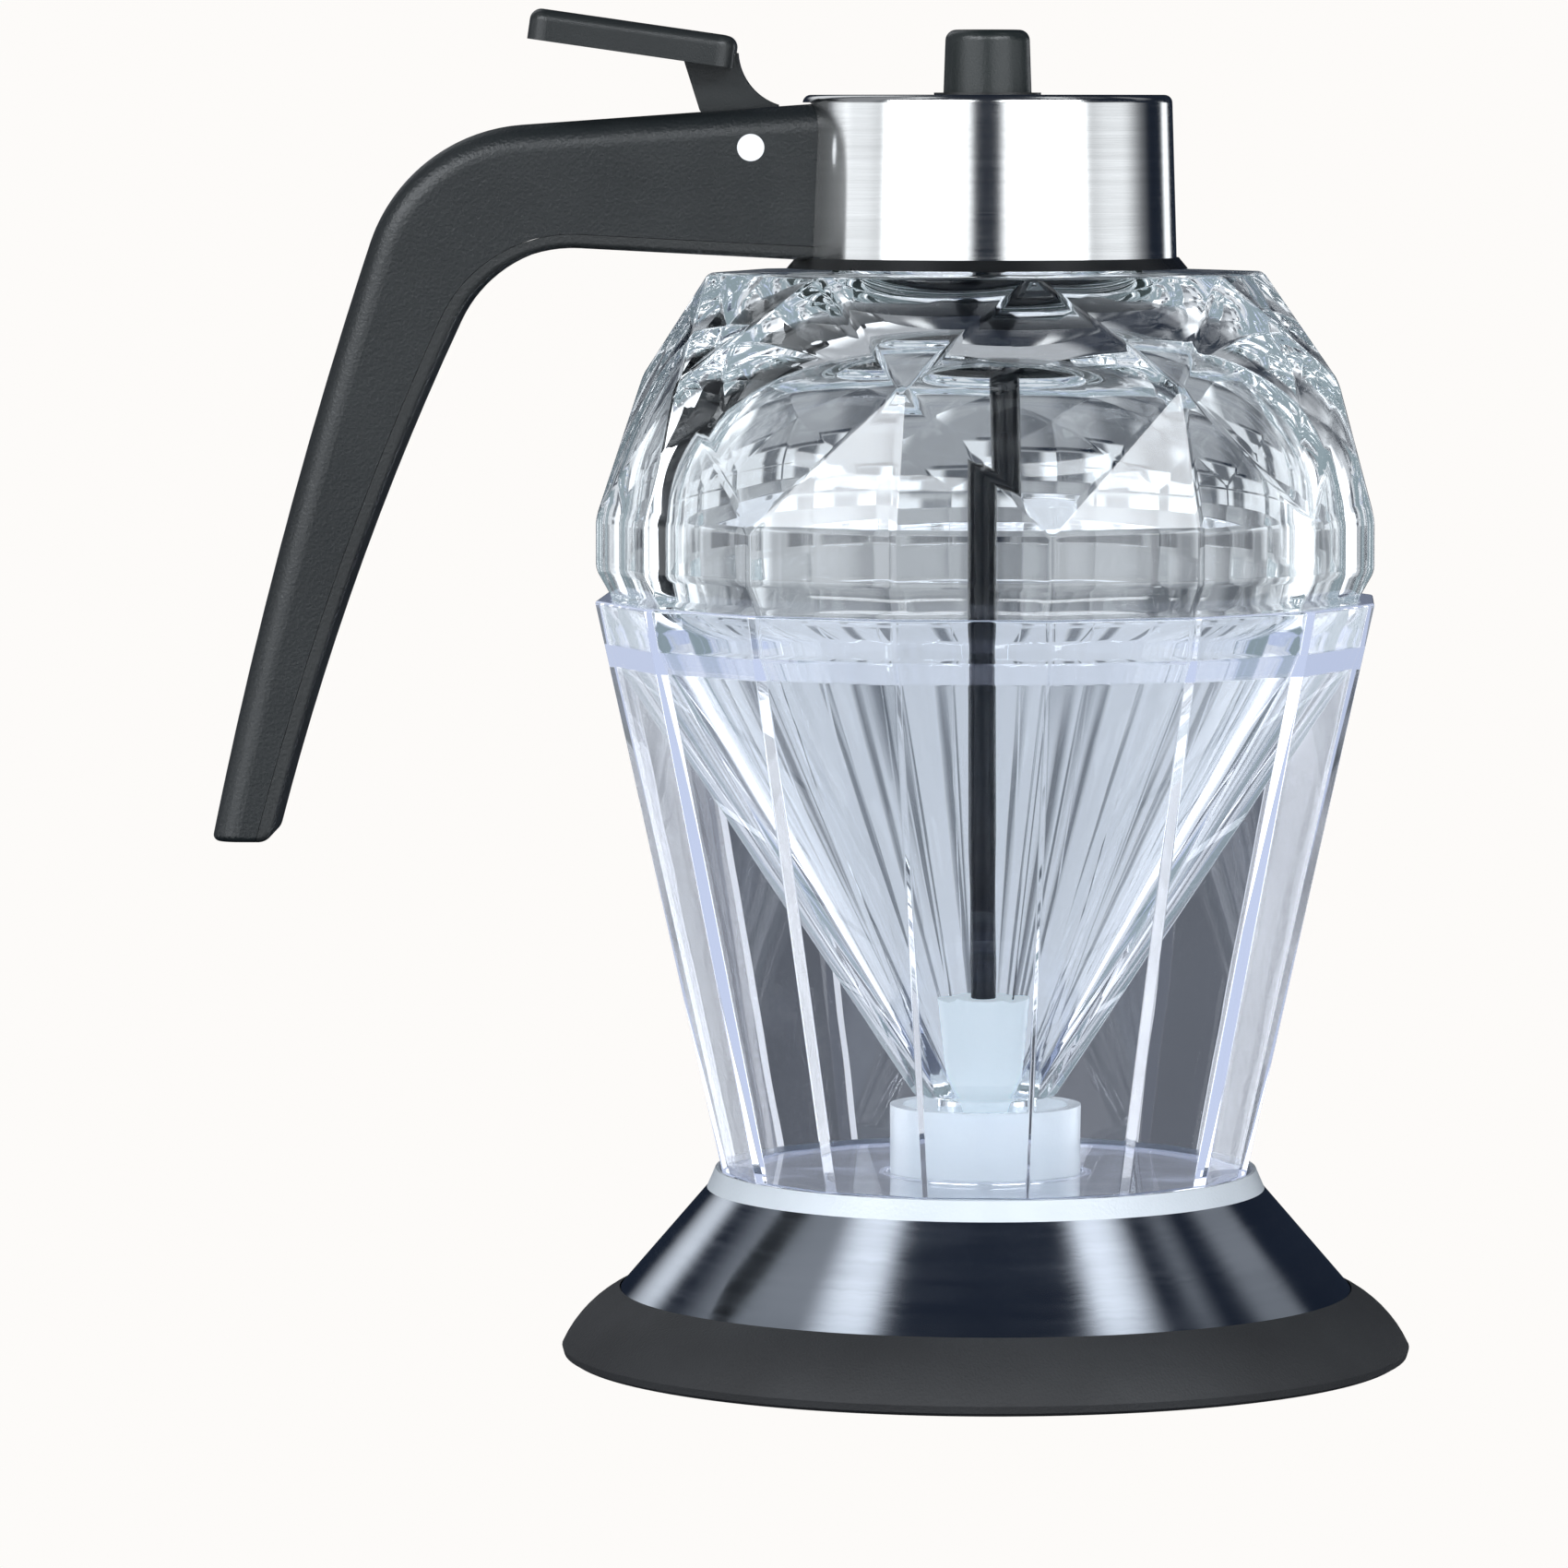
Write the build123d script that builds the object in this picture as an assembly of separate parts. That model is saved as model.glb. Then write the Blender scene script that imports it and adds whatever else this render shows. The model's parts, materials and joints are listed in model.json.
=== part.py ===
from build123d import *

import os
from math import asin, atan2, cos, hypot, pi, radians, sin, sqrt, tan

# Dispenser for oil, honey or syrup: a cut-glass jar with a valve in its pointed bottom, a screw lid with a
# side handle and a thumb lever that lifts the valve's plunger, and a clear faceted stand for the jar.
# Millimetres, +Z up. The origin is on the jar's axis at the level that the foot rests on, and the handle
# points along -X. Facets are counted by their angle from -Y towards +X. Radii of faceted pieces are to
# their corners. An inset is measured square to the line that it moves.

# Facets that the jar and its stand share
facet_turn = 9.0  # degrees from -Y to the first corner
crown_facets = 8  # kites round the jar's shoulder
sides = 2 * crown_facets  # sides of the jar's widest band and of the cup

# Foot, skirt and core of the stand
foot_radius = 47.5
foot_round = 0.9  # how far the resting face lies inside the foot's widest circle
foot_lip = 1.2  # height of the widest circle
foot_height = 7.7
foot_bow = 0.8  # how far the foot's side bulges out
foot_floor = 2.0
foot_ledge = 7.0  # width of the ledge that carries the core
skirt_foot_radius = 40.9  # where the steel leaves the rubber
skirt_rise = 11.2  # from the rubber to the skirt's top edge
skirt_wall = 0.6
skirt_tuck = 2.2  # depth of steel hidden in the rubber
skirt_lip = 6.5  # width of the inward flange under the cup
core_wall = 2.0
core_gap = 0.15

# Clear cup of the stand and the pale ring round its foot
rim_height = 85.0
rim_proud = 2.8  # of the rim's radius over the jar's seat
cup_foot_radius = 29.3
cup_floor = 2.2
cup_wall = 2.7
seat_drop = 4.6  # from the rim down to the seat that carries the jar
seat_gap = 0.1
ring_height = 2.2
ring_wall = 0.35  # at its top
ring_foot = 1.3  # width of its foot
ring_gap = 0.15

# Drip well in the cup's floor
well_radius = 10.3
well_wall = 1.5
well_rise = 7.4  # above the cup's floor
well_flange = 0.8
well_flange_height = 1.3
well_gap = 0.1
drip_gap = 5.4  # from the well's floor up to the spout

# Glass jar
jar_seat_radius = 41.2
jar_band_proud = 1.0  # of the band's top edge over the seat's radius
jar_band_rise = 0.5  # of the band's top edge over the cup's rim
girdle_proud = 1.7  # of the girdle's radius over the band's
girdle_bevel = 3.0  # height of the bevel below the girdle
girdle_height = 5.7
crown_height = 27.1
table_radius = 31.3
kite_drop = 11.6  # from the table down to the kites' widest points
tip_radius = 7.6
cone_wall = 4.6
side_wall = 4.1
cavity_straight = 9.6  # height of the cavity's straight wall
dome_bow = 7.2  # how far the cavity's dome bows out from its chord
shoulder_wall = 4.2
spout_radius = 5.4
spout_length = 3.7
outlet_radius = 3.5
neck_radius = 16.6
neck_wall = 3.1
neck_height = 7.5
neck_root = 0.8  # radius where the neck meets the shoulder

# Screw thread between jar and lid
thread_pitch = 3.0
thread_depth = 1.0
thread_foot = 1.3  # width of a ridge where it leaves its wall
thread_crest = 0.7
thread_root = 0.2  # how deep a ridge is rooted in its wall
thread_gap = 0.3
thread_lead = 1.2  # from the lip down to the end of the neck's ridge
neck_turns = 1.25
lid_turns = 1.0
lid_start = 150.0  # degrees that the lid's ridge starts after the neck's

# Lid
gasket_height = 1.2
gasket_gap = 0.15
deck_height = 1.4
chamber_height = 9.0  # room over the deck for the fork
flange_height = 1.2
flange_proud = 0.25
flange_flare = 1.0
flange_lift = 0.4  # gap between the lid's flange and the shoulder
guide_wall = 1.8
guide_length = 4.5
guide_gap = 0.1
cap_wall = 0.5
lid_wall = 2.57  # at the foot of the steel cap
cap_draft = 0.55  # how much narrower the steel cap is at its top
cap_edge = 0.9
cap_gap = 0.08

# Plunger
rod_radius = 2.5
rod_tip_radius = 2.1
rod_straight = 9.0  # below the guide, before the rod tapers
stub_radius = 1.6
stub_length = 9.5
collar_radius = 4.2
collar_height = 0.8
plug_radius = 4.6
plug_length = 9.3
plug_gap = 0.12
plug_nose_gap = 0.6
plug_nose_length = 1.6
plug_nose_draft = 0.4
plug_bore_depth = 6.4
knob_radius = 4.9
knob_draft = 0.25
knob_proud = 7.2  # above the steel cap
knob_edge = 1.2
bush_gap = 0.15
bush_wall = 0.9
bush_flange = 1.8
bush_flange_height = 0.5
bush_proud = 0.25

# Lever and its pin
pivot_setback = 5.05  # from the steel cap back to the pin
pivot_rise = 3.7  # above the deck
pin_radius = 1.5
pin_gap = 0.05
hub_wall = 0.95
hub_left = 3.7  # from the middle plane to the hub's side away from the spring
hub_right = 1.4
nose_radius = 0.9
nose_rise = 2.2  # fork's centre above the deck at rest
collar_clearance = 0.4  # between the fork and the collar below it
knob_clearance = 0.2  # between the fork and the knob above it
fork_gap = 0.35  # between a prong and the rod
fork_prong = 1.6
fork_length = 9.0
arm_height = 1.1
arm_half_width = 2.3
web_half_width = 3.0
web_back = 8.1  # behind the pin, under the pad
web_waist = 5.8  # behind the pin, where the web leaves the handle
web_waist_rise = 4.1
web_toe = 2.9  # ahead of the pin
web_toe_rise = 4.7
web_front = 1.6  # behind the pin, under the pad's front end
web_bow = 1.15  # how far the web's front edge hollows in
pad_length = 22.9
pad_height = 3.5
pad_half_width = 7.4
pad_tilt = 8.2  # degrees that the pad falls towards the cap
pad_rise = 12.1  # from the pin up to the middle of the pad
pad_setback = 13.2  # from the pin back to the middle of the pad
pad_corner = 2.0
pad_edge = 1.3

# Handle
arm_top_drop = 0.9  # below the steel cap's top
arm_clearance = 1.3  # from the jar's shoulder up to the arm
arm_top_fall = 3.3  # fall of the arm's top line towards its bend
arm_bottom_rise = 1.9
outer_corner_reach = 64.1  # where the arm's and the grip's outer lines would meet
bend_width = 9.5  # from there to where their inner lines would meet
outer_bend_radius = 19.3
inner_bend_radius = 14.5
outer_bow = 1.45  # how far the grip's outer line bows out
inner_bow = 1.95
handle_reach = 86.3
grip_length = 82.0  # from the arm's top down to the end of the grip
grip_tip_width = 6.7
tip_round = 1.8
handle_half_width = 8.8
handle_narrowing = 1.8  # of the half width, down to the end of the grip
handle_edge = 3.0
handle_inner_edge = 0.7
handle_wall = 2.4
slot_end_wall = 3.9  # between the lever's slot and the handle's pocket
cover_height = 1.5
cover_gap = 0.05
root_gap = 0.05
slot_side_gap = 1.1  # between the web and the cheeks
slot_back_gap = 4.2  # behind the web at rest
slot_floor_gap = 0.3  # under the hub

# Screws that hold the handle to the lid
screw_radius = 1.1
screw_gap = 0.1
screw_head_radius = 1.8
screw_head_height = 1.1
screw_tip_gap = 0.8  # from the screws' ends to the pin
screw_spacing = 12.4
screw_rise = 5.0  # above the deck

# Return spring round the pin
spring_wire = 0.5
spring_coils = 3
spring_leg = 5.0
spring_gap = 0.05  # from its legs to what they press on
spring_end_gap = 0.1
ledge_gap = 0.22  # between the spring's ledge and the web

# Heights that follow from the sizes above
skirt_top_z = foot_height + skirt_rise
tuck_z = foot_height - skirt_tuck
cup_bottom_z = skirt_top_z
cup_floor_z = cup_bottom_z + cup_floor
ring_top_z = skirt_top_z + ring_height
well_floor_z = cup_bottom_z + well_wall
well_top_z = cup_floor_z + well_rise
spout_z = well_floor_z + drip_gap
tip_z = spout_z + spout_length
seat_z = rim_height - seat_drop
band_z = rim_height + jar_band_rise
girdle_low_z = band_z + girdle_bevel
girdle_top_z = girdle_low_z + girdle_height
table_z = girdle_top_z + crown_height
neck_top_z = table_z + neck_height
thread_z = neck_top_z - thread_lead - thread_pitch * neck_turns
deck_low_z = neck_top_z + gasket_height
deck_z = deck_low_z + deck_height
guide_low_z = deck_low_z - guide_length
cap_inner_z = deck_z + chamber_height
cap_top_z = cap_inner_z + cap_wall
flange_z = table_z + flange_lift
cap_foot_z = flange_z + flange_height
pivot_z = deck_z + pivot_rise
nose_z = deck_z + nose_rise
collar_top_z = nose_z - nose_radius - collar_clearance
knob_low_z = nose_z + nose_radius + knob_clearance
knob_top_z = cap_top_z + knob_proud
arm_top_z = cap_top_z - arm_top_drop
arm_low_z = table_z + arm_clearance
grip_end_z = arm_top_z - grip_length
screw_z = deck_z + screw_rise

# Radii and slopes that follow from the sizes above
rim_radius = jar_seat_radius + rim_proud
jar_band_radius = jar_seat_radius + jar_band_proud
girdle_radius = jar_band_radius + girdle_proud
cup_lean = (rim_radius - cup_foot_radius) / (rim_height - cup_bottom_z)
ring_inner_radius = rim_radius - cup_lean * (rim_height - ring_top_z) + ring_gap
skirt_top_radius = ring_inner_radius + ring_foot
skirt_slope = (skirt_foot_radius - skirt_top_radius) / skirt_rise
facet_flat = cos(pi / crown_facets)  # a kite ring's middles are this share of its corners
cone_slope = (jar_seat_radius - tip_radius) / (seat_z - tip_z)
kite_radius = (table_radius + (girdle_radius - table_radius) * kite_drop / crown_height) / facet_flat
cavity_radius = girdle_radius * cos(pi / sides) - side_wall
bore_radius = neck_radius - neck_wall
cone_foot_z = tip_z + (outlet_radius + cone_wall - tip_radius) / cone_slope
cavity_straight_z = cone_foot_z + (cavity_radius - outlet_radius) / cone_slope
plug_low_z = cone_foot_z + (plug_radius - outlet_radius) / cone_slope + plug_gap
plug_top_z = plug_low_z + plug_length
chamber_radius = neck_radius + thread_depth + thread_gap
lid_foot_radius = chamber_radius + lid_wall
cap_foot_radius = lid_foot_radius + cap_gap + cap_wall
bush_inner_radius = knob_radius + bush_gap
bush_radius = bush_inner_radius + bush_wall
pivot_reach = cap_foot_radius + pivot_setback
inner_corner_reach = outer_corner_reach - bend_width
hub_radius = pin_radius + pin_gap + hub_wall
coil_radius = hub_radius - spring_wire / 2  # middle of the spring's wire
slot_half_width = web_half_width + slot_side_gap
slot_end = pivot_reach + web_waist + slot_back_gap
pocket_start = slot_end + slot_end_wall
slot_floor_z = pivot_z - hub_radius - slot_floor_gap
screw_end_x = -pivot_reach + pin_radius + screw_tip_gap
slack = 1.0  # how far a cutting tool runs past the face that it cuts
flank_normal = 0.9  # least share of Y in the normal of a flank
big = 3 * handle_reach  # longer than the whole object


def ring_of(radius, z, count=sides, turn=facet_turn):
    """The corners of a facet ring, counted from -Y towards +X."""
    turns = [radians(turn + 360 / count * i) for i in range(count)]
    return [Vector(radius * sin(t), -radius * cos(t), z) for t in turns]


def solid_of(polygons):
    """A closed solid from flat polygons."""
    return Solid(Shell([Face(Wire.make_polygon(points, close=True)) for points in polygons]))


def bands(rings):
    """The flat faces between rings of corners that have equal counts."""
    walls = []
    for low, high in zip(rings, rings[1:]):
        count = len(low)
        walls += [[low[i], low[(i + 1) % count], high[(i + 1) % count], high[i]] for i in range(count)]
    return walls


def faceted(levels):
    """A faceted solid from its (radius, z) levels, from the bottom up."""
    rings = [ring_of(radius, z) for radius, z in levels]
    return solid_of([rings[0], *bands(rings), rings[-1]])


def bowed(start, end, bow):
    """An arc in the side view. A positive bow bulges to the right of the way from start to end."""
    start, end = Vector(start), Vector(end)
    along = (end - start).normalized()
    return Edge.make_three_point_arc(start, (start + end) / 2 + Vector(along.Z, 0, -along.X) * bow, end)


def side_view(edges):
    """A flat face in the plane y = 0."""
    return Face(Wire(edges))


def side_polygon(points):
    return Face(Wire.make_polygon([(x, 0, z) for x, z in points], close=True))


def turned(points):
    """A solid of revolution round the jar's axis from (radius, z) points."""
    return revolve(side_polygon(points), Axis.Z)


def across(face, low, high):
    """A side view given its width, from y = low to y = high."""
    return extrude(Pos(0, low, 0) * face, amount=high - low, dir=(0, 1, 0))


def block(x, y, z):
    """A box between two limits on each axis."""
    low, high = zip(x, y, z)
    return Pos(*low) * Box(*(Vector(high) - Vector(low)), align=Align.MIN)


def bar(start, end, radius):
    """A round bar from one point to another."""
    run = Vector(end) - Vector(start)
    upright = (Align.CENTER, Align.CENTER, Align.MIN)
    return Plane(origin=start, z_dir=run) * Cylinder(radius, run.length, align=upright)


def moved_in(points, inset):
    """Shifts a bent line sideways, to the right of its way, with its corners kept sharp."""
    runs = [(b - a).normalized() for a, b in zip(points, points[1:])]
    normals = [Vector(run.Z, 0, -run.X) for run in runs]
    pairs = zip([normals[0], *normals], [*normals, normals[-1]])
    return [p + (a + b) * (inset / (1 + a.dot(b))) for p, (a, b) in zip(points, pairs)]


def cup_radius(z):
    return rim_radius - cup_lean * (rim_height - z)


def skirt_radius(z):
    return skirt_foot_radius + (foot_height - z) * skirt_slope


def lid_radius(z):
    return lid_foot_radius - cap_draft * (z - cap_foot_z) / (cap_inner_z - cap_foot_z)


def handle_half(z):
    return handle_half_width - handle_narrowing * (arm_top_z - z) / grip_length


def rubber_foot():
    edge_radius = skirt_radius(tuck_z) + core_gap
    outline = [
        (0, 0),
        (foot_radius - foot_round, 0),
        (foot_radius - foot_round / 4, foot_lip / 3),
        (foot_radius, foot_lip),
        (skirt_radius(foot_height) + core_gap, foot_height),
        (edge_radius, tuck_z),
        (edge_radius - foot_ledge, tuck_z),
        (edge_radius - foot_ledge, foot_floor),
        (0, foot_floor),
    ]
    points = [Vector(r, 0, z) for r, z in outline]
    edges = [Edge.make_line(a, b) for a, b in zip(points, points[1:] + points[:1])]
    edges[3] = bowed(points[3], points[4], foot_bow)
    return revolve(side_view(edges), Axis.Z)


def skirt():
    """The flared steel shell, with its inward flange on top."""
    wall = skirt_wall * hypot(1, skirt_slope)
    plate_z = skirt_top_z - skirt_wall
    return turned(
        [
            (skirt_radius(tuck_z), tuck_z),
            (skirt_top_radius, skirt_top_z),
            (skirt_top_radius - skirt_lip, skirt_top_z),
            (skirt_top_radius - skirt_lip, plate_z),
            (skirt_radius(plate_z) - wall, plate_z),
            (skirt_radius(tuck_z) - wall, tuck_z),
        ]
    )


def base_core():
    """The moulded carrier inside the skirt, open underneath, which the cup's floor rests on."""
    stretch = hypot(1, skirt_slope)
    shift = (skirt_wall + core_gap) * stretch
    plate_z = skirt_top_z - skirt_wall - core_gap
    ledge_radius = skirt_radius(tuck_z) + core_gap - foot_ledge

    def outside(z):
        return skirt_radius(z) - shift

    return turned(
        [
            (0, plate_z - core_wall),
            (outside(plate_z - core_wall) - core_wall * stretch, plate_z - core_wall),
            (outside(tuck_z + core_wall) - core_wall * stretch, tuck_z + core_wall),
            (ledge_radius, tuck_z + core_wall),
            (ledge_radius, tuck_z),
            (outside(tuck_z), tuck_z),
            (outside(plate_z), plate_z),
            (skirt_top_radius - skirt_lip - core_gap, plate_z),
            (skirt_top_radius - skirt_lip - core_gap, cup_bottom_z),
            (0, cup_bottom_z),
        ]
    )


def seat_ring():
    """The pale ring on the skirt's top edge, round the foot of the cup."""
    return turned(
        [
            (ring_inner_radius, skirt_top_z),
            (skirt_top_radius, skirt_top_z),
            (ring_inner_radius + ring_wall, ring_top_z),
            (ring_inner_radius, ring_top_z),
        ]
    )


def stand_cup():
    """The clear cup: a leaning faceted wall, a seat for the jar below its rim, and a bored floor."""
    seat_radius = jar_seat_radius + seat_gap
    seat_low_z = seat_z - (seat_radius + cup_wall - cup_radius(seat_z)) / (cone_slope - cup_lean)
    band_slope = (jar_band_radius - jar_seat_radius) / (band_z - seat_z)
    outside = faceted([(cup_foot_radius, cup_bottom_z), (rim_radius, rim_height)])
    hollow = faceted(
        [
            (cup_radius(cup_floor_z) - cup_wall, cup_floor_z),
            (cup_radius(seat_low_z) - cup_wall, seat_low_z),
            (seat_radius, seat_z),
            (seat_radius + band_slope * (seat_drop + slack), rim_height + slack),
        ]
    )
    flange_top_z = cup_bottom_z + well_flange_height + well_gap
    bore = turned(
        [
            (0, cup_bottom_z - slack),
            (well_radius + well_flange + well_gap, cup_bottom_z - slack),
            (well_radius + well_flange + well_gap, flange_top_z),
            (well_radius + well_gap, flange_top_z),
            (well_radius + well_gap, cup_floor_z + slack),
            (0, cup_floor_z + slack),
        ]
    )
    return outside - hollow - bore


def drip_well():
    """The small round cup under the spout, set into the floor from below by its flange."""
    return turned(
        [
            (0, cup_bottom_z),
            (well_radius + well_flange, cup_bottom_z),
            (well_radius + well_flange, cup_bottom_z + well_flange_height),
            (well_radius, cup_bottom_z + well_flange_height),
            (well_radius, well_top_z),
            (well_radius - well_wall, well_top_z),
            (well_radius - well_wall, well_floor_z),
            (0, well_floor_z),
        ]
    )


def jar_outside():
    """The jar cut like a brilliant: kites and triangles on its shoulder, a band, and long facets below."""
    half = 180 / crown_facets
    table = ring_of(table_radius, table_z, crown_facets)
    kites = ring_of(kite_radius, table_z - kite_drop, crown_facets, facet_turn + half)
    tip = ring_of(tip_radius, tip_z)
    seat = ring_of(jar_seat_radius, seat_z)
    band = ring_of(jar_band_radius, band_z)
    low = ring_of(girdle_radius, girdle_low_z)
    top = ring_of(girdle_radius, girdle_top_z)
    polygons = [table, tip, *bands([tip, seat, band, low, top])]
    for i in range(crown_facets):
        after, before = (i + 1) % crown_facets, i - 1
        main, right, left = 2 * i, 2 * i + 1, 2 * i - 1
        polygons += [
            [table[i], kites[i], top[main], kites[before]],
            [table[i], table[after], kites[i]],
            [kites[i], top[right], top[main]],
            [kites[before], top[main], top[left]],
        ]
    return solid_of(polygons)


def jar_cavity():
    """The jar's smooth inside: outlet, valve seat and cone, straight wall, dome and neck bore."""
    dome_z = cavity_straight_z + cavity_straight
    outline = [
        (0, spout_z - slack),
        (outlet_radius, spout_z - slack),
        (outlet_radius, cone_foot_z),
        (cavity_radius, cavity_straight_z),
        (cavity_radius, dome_z),
        (bore_radius, table_z - shoulder_wall),
        (bore_radius, neck_top_z + slack),
        (0, neck_top_z + slack),
    ]
    points = [Vector(r, 0, z) for r, z in outline]
    edges = [Edge.make_line(a, b) for a, b in zip(points, points[1:] + points[:1])]
    edges[4] = bowed(points[4], points[5], dome_bow)
    return revolve(side_view(edges), Axis.Z)


def thread_ridge(wall_radius, z, turns, start, way):
    """A helical ridge on a round wall. Its way is 1 outwards, on the neck, and -1 inwards, in the lid."""
    path = Helix(thread_pitch, thread_pitch * turns, wall_radius)
    root_half = thread_foot / 2 + (thread_foot - thread_crest) / 2 * thread_root / thread_depth
    crest_half = thread_crest / 2
    outline = [(-thread_root, -root_half), (thread_depth, -crest_half)]
    outline += [(x, -y) for x, y in reversed(outline)]
    section = Plane(origin=path @ 0, x_dir=(way, 0, 0), z_dir=path % 0)
    face = section * Face(Wire.make_polygon([(x, y, 0) for x, y in outline], close=True))
    return Pos(0, 0, z) * Rot(0, 0, start) * sweep(face, path=path, is_frenet=True)


def jar_glass():
    neck_foot = [(0, table_z), (neck_radius + neck_root, table_z), (neck_radius, table_z + neck_root)]
    neck = turned([*neck_foot, (neck_radius, neck_top_z), (0, neck_top_z)])
    spout = bar((0, 0, spout_z), (0, 0, tip_z), spout_radius)
    ridge = thread_ridge(neck_radius, thread_z, neck_turns, 0, 1)
    return jar_outside() + neck + spout + ridge - jar_cavity()


def neck_gasket():
    outer = chamber_radius - gasket_gap
    return turned(
        [(bore_radius, neck_top_z), (outer, neck_top_z), (outer, deck_low_z), (bore_radius, deck_low_z)]
    )


def lid_body():
    """The threaded lid: a flared flange, a deck with the rod's guide, and a chamber over it for the fork."""
    guide_radius = rod_radius + guide_gap
    shell = turned(
        [
            (chamber_radius, flange_z),
            (cap_foot_radius + flange_proud + flange_flare, flange_z),
            (cap_foot_radius + flange_proud, cap_foot_z),
            (lid_foot_radius, cap_foot_z),
            (lid_radius(cap_inner_z), cap_inner_z),
            (chamber_radius, cap_inner_z),
            (chamber_radius, deck_z),
            (guide_radius, deck_z),
            (guide_radius, guide_low_z),
            (guide_radius + guide_wall, guide_low_z),
            (guide_radius + guide_wall, deck_low_z),
            (chamber_radius, deck_low_z),
        ]
    )
    ridge_z = thread_z + thread_pitch * (lid_start / 360 - 0.5)
    ridge = thread_ridge(chamber_radius, ridge_z, lid_turns, lid_start, -1)
    opening = (-slot_half_width, slot_half_width)
    window = block((-big, -bore_radius), opening, (deck_z, cap_inner_z + slack))
    hole_radius = screw_radius + screw_gap
    holes = [bar((-big, y, screw_z), (-bore_radius, y, screw_z), hole_radius) for y in screw_ys()]
    return shell + ridge - [window, *holes]


def screw_ys():
    return (-screw_spacing / 2, screw_spacing / 2)


def handle_section(gap):
    """A bar with the handle root's section and a gap all round, from beyond the handle into the lid."""
    top, low = arm_top_z + gap, arm_low_z - slack
    half_top, half_low = handle_half(top) + gap, handle_half(low) + gap
    corners = [(-big, -half_low, low), (-big, -half_top, top), (-big, half_top, top), (-big, half_low, low)]
    whole = extrude(Face(Wire.make_polygon(corners, close=True)), amount=big - bore_radius, dir=(1, 0, 0))
    return fillet(whole.edges().filter_by(Axis.X).group_by(Axis.Z)[-1], handle_edge + gap)


def steel_cap():
    """The brushed steel shell over the lid, cut out for the handle and bored for the knob's bush."""
    top_radius = cap_foot_radius - cap_draft
    outer = turned([(0, cap_foot_z), (cap_foot_radius, cap_foot_z), (top_radius, cap_top_z), (0, cap_top_z)])
    outer = fillet(outer.edges().group_by(Axis.Z)[-1], cap_edge)
    inner = turned(
        [
            (0, cap_foot_z - slack),
            (cap_foot_radius - cap_wall, cap_foot_z - slack),
            (cap_foot_radius - cap_wall, cap_foot_z),
            (top_radius - cap_wall, cap_inner_z),
            (0, cap_inner_z),
        ]
    )
    hole = bar((0, 0, cap_inner_z - slack), (0, 0, cap_top_z + slack), bush_radius)
    return outer - inner - handle_section(root_gap) - hole


def knob_bush():
    return turned(
        [
            (bush_inner_radius, cap_inner_z - bush_flange_height),
            (bush_radius + bush_flange, cap_inner_z - bush_flange_height),
            (bush_radius + bush_flange, cap_inner_z),
            (bush_radius, cap_inner_z),
            (bush_radius, cap_top_z + bush_proud),
            (bush_inner_radius, cap_top_z + bush_proud),
        ]
    )


def plunger_rod():
    """The rod, with a collar under the fork and a stub at each end for the knob and the plug."""
    return turned(
        [
            (0, plug_top_z - plug_bore_depth),
            (stub_radius, plug_top_z - plug_bore_depth),
            (stub_radius, plug_top_z),
            (rod_tip_radius, plug_top_z),
            (rod_radius, guide_low_z - rod_straight),
            (rod_radius, collar_top_z - collar_height),
            (collar_radius, collar_top_z - collar_height),
            (collar_radius, collar_top_z),
            (rod_radius, collar_top_z),
            (rod_radius, knob_low_z),
            (stub_radius, knob_low_z),
            (stub_radius, knob_low_z + stub_length),
            (0, knob_low_z + stub_length),
        ]
    )


def valve_plug():
    """The soft plug on the rod's end. Its cone closes the outlet."""
    nose_top_radius = outlet_radius - plug_nose_gap
    shoulder_z = plug_low_z - (plug_radius - nose_top_radius) / cone_slope
    return turned(
        [
            (0, shoulder_z - plug_nose_length),
            (nose_top_radius - plug_nose_draft, shoulder_z - plug_nose_length),
            (nose_top_radius, shoulder_z),
            (plug_radius, plug_low_z),
            (plug_radius, plug_top_z),
            (stub_radius, plug_top_z),
            (stub_radius, plug_top_z - plug_bore_depth),
            (0, plug_top_z - plug_bore_depth),
        ]
    )


def knob():
    body = turned(
        [
            (stub_radius, knob_low_z),
            (knob_radius, knob_low_z),
            (knob_radius, cap_top_z),
            (knob_radius - knob_draft, knob_top_z),
            (0, knob_top_z),
            (0, knob_low_z + stub_length),
            (stub_radius, knob_low_z + stub_length),
        ]
    )
    return fillet(body.edges().group_by(Axis.Z)[-1], knob_edge)


def handle_view(outer_inset=0.0, inner_inset=0.0, tip_inset=0.0):
    """The handle's side view, closed inside the lid's wall. A positive inset makes it slimmer."""
    outer = [
        Vector(-chamber_radius, 0, arm_top_z),
        Vector(-outer_corner_reach, 0, arm_top_z - arm_top_fall),
        Vector(-handle_reach, 0, grip_end_z),
    ]
    inner = [
        Vector(-handle_reach + grip_tip_width, 0, grip_end_z),
        Vector(-inner_corner_reach, 0, arm_low_z + arm_bottom_rise),
        Vector(-chamber_radius, 0, arm_low_z),
    ]
    outer, inner = moved_in(outer, -outer_inset), moved_in(inner, -inner_inset)
    outer[2] += (outer[1] - outer[2]).normalized() * tip_inset
    inner[0] += (inner[1] - inner[0]).normalized() * tip_inset
    face = side_view(
        [
            Edge.make_line(outer[0], outer[1]),
            bowed(outer[1], outer[2], outer_bow),
            Edge.make_line(outer[2], inner[0]),
            bowed(inner[0], inner[1], -inner_bow),
            Edge.make_line(inner[1], inner[2]),
            Edge.make_line(inner[2], outer[0]),
        ]
    )
    face = rounded(face, outer[1], outer_bend_radius - outer_inset)
    return rounded(face, inner[1], inner_bend_radius + inner_inset)


def rounded(face, corner, radius):
    """Rounds the corner of a flat face that lies nearest to a point."""
    return face.fillet_2d(radius, [min(face.vertices(), key=lambda v: (v.center() - corner).length)])


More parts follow.
